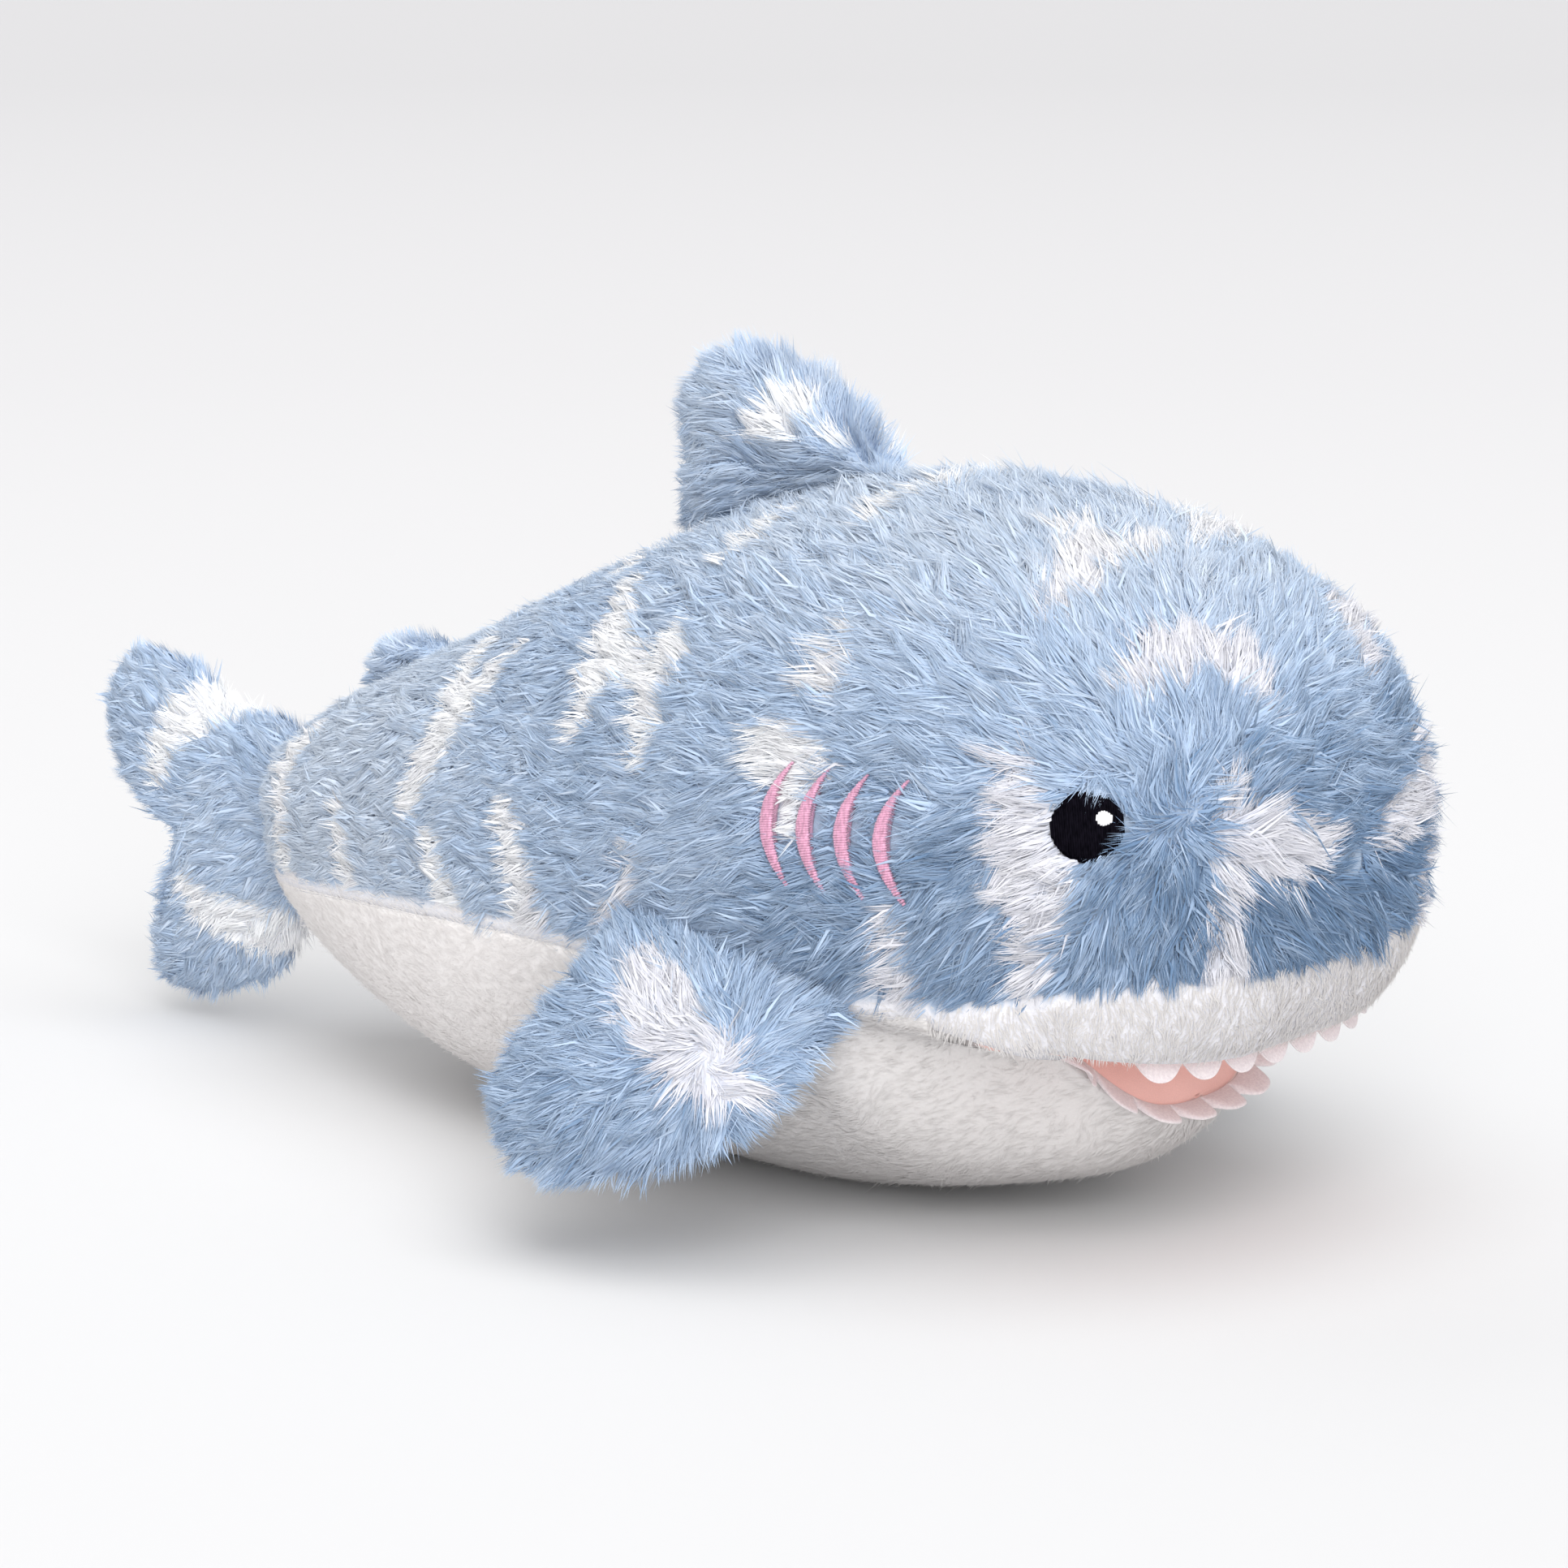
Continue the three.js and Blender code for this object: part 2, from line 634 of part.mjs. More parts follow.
// Two panels and the stuffing of a fin, in a group set on its sewn root.
function finGroup(names, fin, chord, swing, root) {
  const stuffed = (inset) =>
    pillow(fin.outline, chord, fin.height, fin.thickness, inset).intersect(swingRoom(swing, inset));
  const pile = fin.pile ?? FIN_PILE;
  const skin = stuffed(0).subtract(stuffed(pile));
  const fill = stuffed(pile + SEAM_GAP);
  const group = new THREE.Group();
  group.add(meshOf(names[0], skin.intersect(finHalf(1)), BLUE_PILE));
  group.add(meshOf(names[1], skin.intersect(finHalf(-1)), BLUE_PILE));
  group.add(meshOf(names[2], fill, FIBRE_FILL));
  group.quaternion.setFromRotationMatrix(
    new THREE.Matrix4().makeBasis(root.chord, root.span, root.chord.clone().cross(root.span)),
  );
  group.position.copy(root.at);
  return group;
}

// A fin sewn along the ridge of the back. Its root is straight, so it clears the ridge's crown.
function ridgeFin(names, fin) {
  const start = new THREE.Vector3(fin.from, 0, backZ(fin.from));
  const end = new THREE.Vector3(fin.to, 0, backZ(fin.to));
  const chord = end.clone().sub(start);
  const span = new THREE.Vector3(-chord.z, 0, chord.x).normalize();
  const lifts = Array.from({ length: 21 }, (_, i) => {
    const x = THREE.MathUtils.lerp(fin.from, fin.to, i / 20);
    return new THREE.Vector3(x, 0, backZ(x)).sub(start).dot(span);
  });
  const lift = Math.max(...lifts) + SEAM_GAP;
  const swing = 90 - fin.swing - SWING_MARGIN;
  const root = {
    chord: chord.clone().normalize(),
    span,
    at: start.add(end).multiplyScalar(0.5).addScaledVector(span, lift),
  };
  return finGroup(names, fin, chord.length(), { front: swing, back: swing }, root);
}

function tailFin() {
  const swing = 90 - TAIL.swing - SWING_MARGIN;
  const root = {
    chord: new THREE.Vector3(0, 0, 1),
    span: new THREE.Vector3(-1, 0, 0),
    at: new THREE.Vector3(TAIL_STOCK_X - SEAM_GAP, 0, TAIL.rootZ),
  };
  const names = ['tail_fin_right', 'tail_fin_left', 'tail_fin_stuffing'];
  return finGroup(names, TAIL, TAIL.chord, { front: swing, back: swing }, root);
}

// A pectoral fin, sewn along the flank and hanging down and out.
function pectoralFin(side) {
  const pitch = THREE.MathUtils.degToRad(PECTORAL.pitch);
  const splay = THREE.MathUtils.degToRad(PECTORAL.splay);
  const reach = PECTORAL.chord / 2;
  const forward = new THREE.Vector3(Math.cos(pitch), 0, -Math.sin(pitch));
  const alongRoot = (share) => {
    const x = PECTORAL.x + share * reach * forward.x;
    const z = PECTORAL.rootZ + share * reach * forward.z;
    return flankPoint(x, z, side);
  };
  const start = alongRoot(-1);
  const end = alongRoot(1);
  const chord = end.clone().sub(start).normalize();
  const bulge = Array.from({ length: 21 }, (_, i) => {
    const share = i / 20;
    return side * (alongRoot(2 * share - 1).y - THREE.MathUtils.lerp(start.y, end.y, share));
  });
  const out = new THREE.Vector3(0, side, 0);
  const span = new THREE.Vector3(0, 0, -Math.cos(splay)).addScaledVector(out, Math.sin(splay));
  span.addScaledVector(chord, -span.dot(chord)).normalize();
  const inner = PECTORAL.splay - PECTORAL.swingIn - SWING_MARGIN;
  const outer = Math.min(180 - PECTORAL.splay - PECTORAL.swingOut, 90) - SWING_MARGIN;
  const root = {
    chord,
    span,
    at: start.add(end).multiplyScalar(0.5).addScaledVector(out, Math.max(...bulge) + SEAM_GAP),
  };
  const label = side < 0 ? 'right' : 'left';
  const [front, back] = side < 0 ? ['inner', 'outer'] : ['outer', 'inner'];
  const swing = { front: side < 0 ? inner : outer, back: side < 0 ? outer : inner };
  const names = [`${label}_fin_${front}`, `${label}_fin_${back}`, `${label}_fin_stuffing`];
  return finGroup(names, PECTORAL, PECTORAL.chord, swing, root);
}

// The toy.

const shark = new THREE.Group();
const body = bodyPieces();
const panels = { right: body.right, left: body.left };

for (const [label, side] of [['right', -1], ['left', 1]]) {
  const eye = eyePieces(side);
  panels[label] = panels[label].subtract(eye.pocket);
  shark.add(meshOf(`${label}_eye`, eye.eye, BLACK_THREAD));
  shark.add(meshOf(`${label}_eye_glint`, eye.glint, WHITE_THREAD));
  for (let number = 0; number < GILLS; number += 1) {
    const gill = gillPieces(side, number);
    panels[label] = panels[label].subtract(gill.pocket);
    shark.add(meshOf(`${label}_gill_${number + 1}`, gill.stripe, PINK_THREAD));
  }
  shark.add(meshOf(`${label}_side_panel`, panels[label], BLUE_PILE));
}

shark.add(meshOf('belly_panel', body.belly, WHITE_PILE));
shark.add(meshOf('upper_lip_band', body.lip, WHITE_PILE));
shark.add(meshOf('upper_mouth_lining', body.palate, PINK_LINING));
shark.add(meshOf('lower_mouth_lining', body.mouthFloor, PINK_LINING));
shark.add(meshOf('body_stuffing', body.stuffing, FIBRE_FILL));

const strips = teeth();
shark.add(meshOf('upper_teeth', strips.upper, WHITE_FELT));
shark.add(meshOf('lower_teeth', strips.lower, WHITE_FELT));

shark.add(ridgeFin(['dorsal_fin_right', 'dorsal_fin_left', 'dorsal_fin_stuffing'], DORSAL));
shark.add(ridgeFin(['rear_fin_right', 'rear_fin_left', 'rear_fin_stuffing'], REAR));
shark.add(tailFin());
shark.add(pectoralFin(-1));
shark.add(pectoralFin(1));

export default shark;
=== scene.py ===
"""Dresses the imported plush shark: stuffed pads, pile, embroidery, felt teeth and mouth lining."""

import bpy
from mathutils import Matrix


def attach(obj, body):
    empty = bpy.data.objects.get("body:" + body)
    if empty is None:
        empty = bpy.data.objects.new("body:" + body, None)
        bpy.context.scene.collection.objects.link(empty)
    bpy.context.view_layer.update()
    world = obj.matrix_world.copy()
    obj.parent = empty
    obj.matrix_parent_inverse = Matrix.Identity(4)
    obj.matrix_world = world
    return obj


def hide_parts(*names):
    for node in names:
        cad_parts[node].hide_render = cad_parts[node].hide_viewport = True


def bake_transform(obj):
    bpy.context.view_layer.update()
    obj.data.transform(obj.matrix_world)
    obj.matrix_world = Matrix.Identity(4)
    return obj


bl_info = {
    "name": "Plush Shark Dressing",
    "version": (1, 0, 0),
    "blender": (4, 5, 0),
    "location": "3D View > Sidebar > Plush Shark",
    "description": "Builds the pile, pads, stitching and stage of a plush shark round its solids",
    "category": "Add Mesh",
}

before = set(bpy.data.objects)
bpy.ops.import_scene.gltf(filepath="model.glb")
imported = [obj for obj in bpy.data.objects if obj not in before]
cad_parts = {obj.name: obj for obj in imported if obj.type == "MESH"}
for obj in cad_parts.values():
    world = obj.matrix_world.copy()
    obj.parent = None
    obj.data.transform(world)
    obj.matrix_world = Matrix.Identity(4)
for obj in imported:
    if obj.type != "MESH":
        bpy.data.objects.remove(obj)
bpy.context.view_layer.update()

import math

import bpy
import numpy as np

MM = 0.001

# The stuffed body, in millimetres: +X to the nose, -Y to the shark's right, +Z up from the floor.
NOSE_X, TAIL_X = 203.0, -180.0
BODY_HEIGHT, BODY_WIDTH = 199.0, 194.0
SNOUT_ROUND, SNOUT_SQUARE = 94.0, 2.68
STOCK_ROUND = 24.0
BACK_SQUARE = 2.2
BELLY_FLAT = 0.8
# Share of the length, then back, belly, half width, middle level and squareness of the underside.
STATIONS = np.array([
    [0.00, 0.47, 0.29, 0.25, 0.41, 2.4],
    [0.10, 0.58, 0.16, 0.44, 0.39, 2.3],
    [0.23, 0.70, 0.06, 0.63, 0.39, 2.3],
    [0.36, 0.82, 0.008, 0.78, 0.40, 2.15],
    [0.50, 0.935, 0.0, 0.90, 0.415, 2.05],
    [0.63, 0.998, 0.0, 0.98, 0.435, 2.0],
    [0.75, 0.99, 0.04, 1.0, 0.465, 2.15],
    [0.88, 0.955, 0.098, 0.96, 0.505, 2.6],
    [1.00, 0.94, 0.115, 0.89, 0.545, 2.8],
])
# Share of the length and height of the seam between the blue sides and the white belly.
SIDE_SEAM = np.array([[0, 58], [0.2, 67], [0.45, 74], [0.7, 73], [0.85, 78], [0.95, 85], [1, 84.0]])

MOUTH_CORNER_X, MOUTH_CORNER_Z = 133.0, 69.0
MOUTH_HALF = 74.0
PALATE_SLOPE = math.tan(math.radians(11))
JAW_SLOPE = math.tan(math.radians(57))
PARTING_SLOPE = math.tan(math.radians(34))
JAW_FRONT_X = 158.0
JAW_TUCK, JAW_TUCK_LENGTH, JAW_TUCK_DROP = 0.57, 64.0, 14.0
CHIN_ROUND, SNOUT_UNDER_Z = 30.0, 38.0

# Mouth linings: thickness, how far in from the lip, and the swell of the stuffing behind each.
LINING, LINING_INSET = 1.2, 2.4
LINING_SWELL = {"upper": -1.2, "lower": 3.0}
TEETH, TOOTH_PITCH, TOOTH_BAND = 8, 14.0, 1.0
# Each strip of teeth: length past the band, how far in from the lip, and squareness of the scallops.
TOOTH_STRIPS = {"upper": (5.5, 4.0, 2.4), "lower": (8.0, 1.5, 3.6)}
# Felt: thickness, curl of a tooth's tip, and the least depth that a sheet is given.
FELT, FELT_CURL, LEAST_SHEET = 1.5, 0.9, 10.2

SIDES = (("right", -1), ("left", 1))
EYE_X, EYE_Z, EYE_SINK = 171.0, 126.0, 1.8
EYE_CLEARING, EYE_RADIUS, EYE_CROWN = 10.4, 9.4, 2.1
GLINT_RADIUS, GLINT_CROWN, GLINT_OFFSET, GLINT_LIFT = 2.1, 0.7, 4.6, 1.75
GILLS, GILL_X, GILL_PITCH, GILL_Z = 4, 88.0, 12.6, 118.5
GILL_LENGTH, GILL_BOW, GILL_LEAN, GILL_WIDTH, GILL_TIP = 31.0, 7.0, 3.0, 4.6, 0.8

# White markings on the right side: points of a line on the pile with half widths there.
MARKINGS = {
    "side": [
        [(172, -54, 157, 3), (172, -43, 165, 6), (176, -33, 166, 7), (182, -28, 162, 5.5), (190, -24, 153, 2.5)],
        [(125, -19, 193, 3), (139, -30, 187, 7), (143, -45, 180, 4.2), (143, -54, 174, 1.5)],
        [(139, -30, 187, 5.5), (144, -19, 187, 4.3), (147, -5, 187, 1.3)],
        [(151, -81, 139, 3), (156, -83, 127, 7), (159, -84, 116, 9.5), (162, -83, 107, 7.4),
         (163, -83, 96, 3.5), (159, -84, 84, 2.7)],
        [(194, -44, 131, 3), (196, -42, 121, 5.6), (200, -28, 118, 7), (202, -14, 114, 3)],
        [(195, -45, 118, 5), (195, -47, 105, 3.1), (195, -45, 94, 3.1), (194, -46, 87, 5.4)],
        [(74, -87, 138, 3), (85, -88, 138, 6), (95, -90, 135, 3.2)],
        [(84, -91, 133, 6.3), (88, -94, 119, 2.3)],
        [(88, -71, 168, 1.1), (92, -78, 160, 4.2), (86, -81, 154, 1.7)],
        [(92, -78, 160, 3.6), (92, -82, 152, 1.1)],
        [(-4, -46, 167, 1.8), (3, -63, 154, 5.3), (3, -70, 144, 4.9), (1, -76, 132, 1.1)],
        [(31, -67, 162, 1.7), (30, -72, 155, 4.8), (28, -77, 146, 6), (30, -82, 134, 3.3), (31, -85, 128, 0.9)],
        [(4, -66, 151, 4), (19, -72, 149, 3.5)],
        [(-45, -50, 144, 1.4), (-54, -56, 132, 4.1), (-63, -60, 120, 4.6), (-70, -63, 108, 3.7),
         (-73, -65, 96, 0.9)],
        [(-66, -37, 143, 1), (-65, -52, 130, 3.2), (-65, -59, 122, 3.7)],
        [(-142, -29, 106, 2.4), (-150, -31, 99, 3.4), (-149, -37, 91, 2.4), (-147, -40, 77, 1.7),
         (-146, -39, 65, 1.9)],
        [(-113, -53, 88, 1), (-108, -56, 79, 1.7), (-105, -56, 69, 2.4)],
        [(-61, -70, 91, 0.8), (-55, -72, 81, 1.8), (-50, -73, 73, 3.2)],
        [(-26, -77, 106, 1), (-19, -80, 94, 2.7), (-13, -82, 82, 4), (-11, -82, 73, 5.4)],
        [(31, -90, 102, 1), (29, -90, 91, 2.2), (24, -89, 81, 3.9)],
        [(124, -96, 98, 1.7), (125, -95, 89, 2.7), (126, -95, 79, 4.6)],
        [(39, -26, 191, 1), (37, -40, 185, 2), (34, -50, 179, 1.1)],
        [(76, -5, 198, 1.8), (73, -23, 196, 3.1), (73, -39, 191, 1.3)],
        [(-6, -18, 176, 2), (-15, -27, 171, 2), (-21, -32, 167, 1)],
    ],
    "dorsal_fin": [
        [(27, -7, 221, 2), (26, -14, 215, 5.1), (15, -17, 206, 2)],
        [(35, -10, 213, 1.3), (40, -11, 208, 2.9), (46, -9, 203, 1.1)],
    ],
    "rear_fin": [],
    "tail_fin": [
        [(-197, 0, 109, 6), (-210, -8, 104, 6), (-220, -13, 96, 4.5), (-226, -14, 85, 2.5), (-227, -14, 77, 1.3)],
        [(-218, -14, 46, 2), (-211, -13, 40, 3), (-198, -10, 35, 4), (-187, -6, 34, 5), (-178, 0, 35, 4)],
    ],
    "right_fin": [
        [(52, -108, 80, 3), (60, -116, 73, 9.8), (72, -121, 66, 8.4), (84, -123, 60, 8), (91, -123, 55, 4.2)],
        [(91, -123, 54, 3.8), (98, -121, 52, 4.2)],
    ],
}

# What most fins share: trim, the pile's length in shares of the fin pile; drop, how far the root runs on into the
# body; bend, where its bend ends; blue, the place on the colour map, paler on the fins on the back and the tail as
# painted light and deeper on the low side fins as painted shade; whorl, the turn of the pile round the point it
# is brushed from; rise, how much the strands stand up at the rim and all over, in degrees.
FIN_COMMON = {"trim": 1.0, "drop": 9.0, "bend": 13, "blue": 0.20, "whorl": 0.0, "rise": (34, 0)}
# Strands on a fin for one of the stated density.
FIN_STRANDS = 1.12
# Fins: the middle of the sewn root, chord and span directions, chord, height, thickness over the pile, the point
# that the pile is brushed away from, the names of the halves on either side of the chord plane, the outline in
# shares of chord and height, and what differs from most fins.
FINS = {
    "dorsal_fin": {
        "at": (16.06, 0, 187.91), "chord": (0.95, 0, 0.31224), "span": (-0.31224, 0, 0.95),
        "size": (78.9, 47.0, 34.0), "brushed_from": (56, 0, 194), "halves": ("right", "left"),
        "blue": 0.33,
        "outline": [(-.46, 0), (-.46, .32), (-.39, .8), (-.12, .99), (.1, .88), (.32, .51), (.45, .13), (.46, 0)],
    },
    "rear_fin": {
        "at": (-129.94, 0, 121.72), "chord": (0.89603, 0, 0.444), "span": (-0.444, 0, 0.89603),
        "size": (40.5, 11.0, 16.0), "brushed_from": (-108, 0, 128), "halves": ("right", "left"),
        "trim": 0.52, "rim": 1.2, "drop": 5.0, "bend": 6, "blue": 0.36, "rise": (45, 12),
        "outline": [(-.42, 0), (-.37, .5), (-.2, .92), (-.04, 1), (.18, .68), (.46, .08), (.4, 0)],
    },
    "tail_fin": {
        "at": (-180.3, 0, 73), "chord": (0, 0, 1), "span": (-1, 0, 0),
        "size": (113.0, 80.0, 24.0), "brushed_from": (-160, 0, 73), "halves": ("right", "left"),
        "trim": 0.75, "blue": 0.29,
        "outline": [(.2, 0), (.29, .31), (.37, .5), (.39, .83), (.25, 1), (.07, .94), (-.12, .62),
                    (-.34, .62), (-.55, .74), (-.6, .54), (-.53, .18), (-.34, .01), (-.2, 0)],
    },
    "right_fin": {
        "at": (71, -95.55, 77), "chord": (0.98452, -0.02414, -0.1736), "span": (-0.1511, -0.6192, -0.7706),
        "size": (84.0, 74.0, 27.0), "brushed_from": (84, -122, 62), "halves": ("inner", "outer"),
        "whorl": 1.3,
        "outline": [(-.43, 0), (-.58, .35), (-.6, .75), (-.4, .97), (-.15, .97), (.12, .82), (.4, .48),
                    (.46, .18), (.4, 0)],
    },
}
FINS["left_fin"] = dict(
    FINS["right_fin"],
    at=(71, 95.55, 77), chord=(0.98452, 0.02414, -0.1736), span=(-0.1511, 0.6192, -0.7706),
    halves=("outer", "inner"), brushed_from=(84, 122, 62),
)
MARKINGS["left_fin"] = MARKINGS["right_fin"]

# Zones of the body's skin, the strands of each for one of the stated density, and the pile of each: its pieces,
# the panel they stand for and the endings of their names from front to rear.
OPEN_MOUTH, RIGHT, LEFT, BELLY, LIP = range(5)
ZONE_STRANDS = np.array([0, 1.2, 1.2, 0.45, 0.6])
PANELS = {
    RIGHT: ("right_side_pile", "right_side_panel", ("_head", "_middle", "_rear")),
    LEFT: ("left_side_pile", "left_side_panel", ("_head", "_middle", "_rear")),
    BELLY: ("belly_pile", "belly_panel", ("_front", "_middle", "_rear")),
    LIP: ("lip_pile", "upper_lip_band", ("",)),
}
BRUSHED_FROM = (189.0, -53.0, 129.0)
# Stretches of the blue-and-white colour map, the seeds of the markings' ragged edges, the least height of a
# strand over the floor, and a thread's radius in shares of the stitch spacing.
BLUE_TONES, WHITE_TONES = (0.03, 0.46), (0.54, 0.97)
SIDE_SEED, FIN_SEED = 11, 40
FLOOR_GAP = 0.25
THREAD_RADIUS = 0.62

# Camera: side of the picture in pixels, direction in degrees, distance and aim in metres, and lens in pixels.
PHOTO_SIDE = 1932
CAMERA_AZIMUTH, CAMERA_ELEVATION, CAMERA_DISTANCE = 39.08, 11.8, 1.5
CAMERA_AIM = (0.0, 0.0, 0.0966)
FOCAL_PIXELS, CENTRE_PIXEL = 6500.0, (925.5, 992.81)
SENSOR = 36.0
# Light: azimuth and height in degrees, strength, and spread in degrees of each lamp, and the strength of the sky.
LIGHTS = {
    "key": (44, 33, 1.6, 40), "top": (62, 74, 1.6, 60), "rim": (-105, 25, 0.6, 70), "fill": (46, 4, 1.0, 30),
}
SKY_STRENGTH = 0.52
# Floor: its radius in metres, and its tone at shares of that, darker outwards as a painted fall-off of the light.
FLOOR_RADIUS = 9.0
FLOOR_PAINTED_FALLOFF = [
    (0.0, (0.698, 0.698, 0.703)), (0.05, (0.693, 0.691, 0.698)),
    (0.2, (0.634, 0.629, 0.639)), (0.48, (0.568, 0.563, 0.573)),
]


# Curves and fields.

def smooth(value, low, high):
    """Rises from 0 at low to 1 at high along the cubic 3t2 - 2t3."""
    t = np.clip((value - low) / (high - low), 0, 1)
    return t * t * (3 - 2 * t)


def unit(v):
    """Vectors divided by their own length."""
    return v / np.maximum(np.linalg.norm(v, axis=-1, keepdims=True), 1e-9)


def dot(a, b):
    """Scalar products of rows of vectors, kept as a column."""
    return (a * b).sum(-1, keepdims=True)


def ripple(points, scale, seed):
    """A smooth field in about -1 to 1: the mean of seven sine waves of random direction and phase."""
    rng = np.random.default_rng(seed)
    ways = unit(rng.normal(size=(7, 3))) * rng.uniform(0.6, 1.5, (7, 1)) * 2 * math.pi / scale
    waves = np.sin(points @ ways.T + rng.uniform(0, 2 * math.pi, 7))
    return waves.mean(-1) * 1.9


def through(table, share):
    """Columns of a table at a share: cubics whose slope at a row is the mean of the two chords beside it."""
    x, y = table[:, 0], table[:, 1:]
    chord = np.diff(y, axis=0) / np.diff(x)[:, None]
    slope = np.vstack([chord[:1], (chord[1:] + chord[:-1]) / 2, chord[-1:]])
    s = np.clip(share, x[0], x[-1])
    i = np.clip(np.searchsorted(x, s, side="right") - 1, 0, len(x) - 2)
    wide = (x[i + 1] - x[i])[..., None]
    t = ((s - x[i])[..., None]) / wide
    value = (2 * t**3 - 3 * t**2 + 1) * y[i] + (3 * t**2 - 2 * t**3) * y[i + 1]
    return value + wide * ((t**3 - 2 * t**2 + t) * slope[i] + (t**3 - t**2) * slope[i + 1])


def round_off(share, power):
    """A quarter of a squared circle: the height left at a share of its radius."""
    return (1 - np.clip(share, 0, 1) ** power) ** (1 / power)


def along_body(x):
    """Share of the body's length at x, from tail stock to nose."""
    return (np.asarray(x, float) - TAIL_X) / (NOSE_X - TAIL_X)


def seam_z(x):
    """Height of the seam between blue and white at x."""
    return through(SIDE_SEAM, along_body(x))[..., 0]


def palate_z(x):
    """Height of the roof of the mouth at x, a plane falling forwards."""
    return MOUTH_CORNER_Z - PALATE_SLOPE * (x - MOUTH_CORNER_X)


def jaw_z(x):
    """Height of the floor of the mouth at x, a steeper plane from the same corner."""
    return MOUTH_CORNER_Z - JAW_SLOPE * (x - MOUTH_CORNER_X)


def section(x, inset):
    """Middle level, half width, reach up, reach down and squareness of the body's section at x."""
    back, belly, width, level, square = np.moveaxis(through(STATIONS, along_body(x)), -1, 0)
    front = round_off((x - NOSE_X + SNOUT_ROUND) / (SNOUT_ROUND - inset), SNOUT_SQUARE)
    rear = round_off((TAIL_X + STOCK_ROUND - x) / (STOCK_ROUND - inset), 2)
    centre = level * BODY_HEIGHT
    half = (width * BODY_WIDTH / 2 - inset) * front * rear
    up = (back * BODY_HEIGHT - centre - inset) * front * rear
    chin = (x - JAW_FRONT_X + CHIN_ROUND) / (CHIN_ROUND - inset)
    under_snout = (centre - SNOUT_UNDER_Z - inset) * front
    under_belly = (centre - belly * BODY_HEIGHT + BELLY_FLAT - inset) * rear
    share = np.where(chin < 1, round_off(chin, 2), 0)
    return centre, half, up, under_snout + (under_belly - under_snout) * share, square


def jaw_width(x, z):
    """Share of the full width left at a place: the jaw narrows forwards and below the palate."""
    forward = smooth(x, JAW_FRONT_X - JAW_TUCK_LENGTH, JAW_FRONT_X)
    return 1 - JAW_TUCK * forward * smooth(palate_z(x) - z, 0, JAW_TUCK_DROP)


def body_point(x, angle, inset=0.0):
    """The body's skin: a squared ellipse round the section at x, angle 0 on the back and a quarter turn on
    the right flank. The belly is flat where it would pass through the floor."""
    centre, half, up, down, square = section(x, inset)
    reach = section(x, 0.0)[3]
    rise, side = np.cos(angle), np.sin(angle)
    power = 2 / np.where(rise > 0, BACK_SQUARE, square)
    height = np.sign(rise) * np.abs(rise) ** power
    width = half * jaw_width(x, centre + reach * height)
    y = -width * np.sign(side) * np.abs(side) ** power
    z = centre + np.where(rise > 0, up, down) * height
    return np.stack(np.broadcast_arrays(x, y, np.maximum(z, inset)), -1)


def half_width(x, z, inset=0.0):
    """Half the body's width at a place and a height."""
    centre, half, up, down, square = section(x, inset)
    reach = np.maximum(np.where(z > centre, up, down), 1e-6)
    power = np.where(z > centre, BACK_SQUARE, square)
    return half * round_off(np.abs(z - centre) / reach, power) * jaw_width(x, z)


def flank(x, z, side, lift=0.0):
    """A point of the flank lifted off it, with its frame: forwards, up the flank and out of it."""
    x, z = np.broadcast_arrays(np.asarray(x, float), np.asarray(z, float))

    def at(px, pz):
        """The flank at places and heights."""
        return np.stack([px, side * half_width(px, pz), pz], -1)

    along = at(x + 0.5, z) - at(x - 0.5, z)
    rise = at(x, z + 0.5) - at(x, z - 0.5)
    out = unit(np.cross(rise, along)) * side
    forward = unit(np.array([1.0, 0, 0]) - dot(out, np.array([1.0, 0, 0])) * out)
    return at(x, z) + out * lift, forward, unit(rise - dot(rise, out) * out), out


def body_places(inset):
    """Section places, close together round the tail stock, the chin and the snout."""
    turn = np.linspace(0, math.pi / 2, 60)
    stock, snout = TAIL_X + STOCK_ROUND, NOSE_X - SNOUT_ROUND
    chin = JAW_FRONT_X - inset - (CHIN_ROUND - inset) * (1 - np.sin(turn[::3]))
    places = [
        stock - (STOCK_ROUND - inset) * np.cos(turn[:-1:4]),
        np.linspace(stock, snout, 110),
        snout + (SNOUT_ROUND - inset) * np.sin(turn[1:]),
        chin,
    ]
    return np.unique(np.round(np.concatenate(places), 3))


def from_markings(points, markings):
    """Distance of points outside the nearest marking, below 0 inside it. A marking is a line of straight
    pieces whose half width runs evenly from end to end of each piece."""
    nearest = np.full(len(points), 1e3)
    for line in markings:
        for start, end in zip(np.array(line[:-1], float), np.array(line[1:], float)):
            a, way = start[:3], end[:3] - start[:3]
            t = np.clip((points - a) @ way / (way @ way), 0, 1)
            gap = np.linalg.norm(points - a - t[:, None] * way, axis=1)
            nearest = np.minimum(nearest, gap - (start[3] + (end[3] - start[3]) * t))
    return nearest


def to_right(points):
    """Points of either side brought to the right side, where the markings are laid out."""
    return points * np.where(points[..., 1:2] > 0, (1, -1, 1), (1, 1, 1))


def along_line(line):
    """Length of a line of points, and a function that gives its points at distances from its start."""
    gone = np.concatenate([[0], np.cumsum(np.linalg.norm(np.diff(line, axis=0), axis=1))])

    def at(place):
        """Points at distances along the straight pieces of the line."""
        return np.stack([np.interp(place, gone, column) for column in line.T], -1)

    return gone[-1], at


# Meshes.

def grid_normals(points, inside):
    """Unit normals of a grid whose columns close on themselves, on the whole away from the points inside."""
    rows = np.gradient(points, axis=0)
    columns = np.roll(points, -1, axis=1) - np.roll(points, 1, axis=1)
    normals = unit(np.cross(rows, columns))
    return normals * np.sign(dot(normals, points - inside).sum())


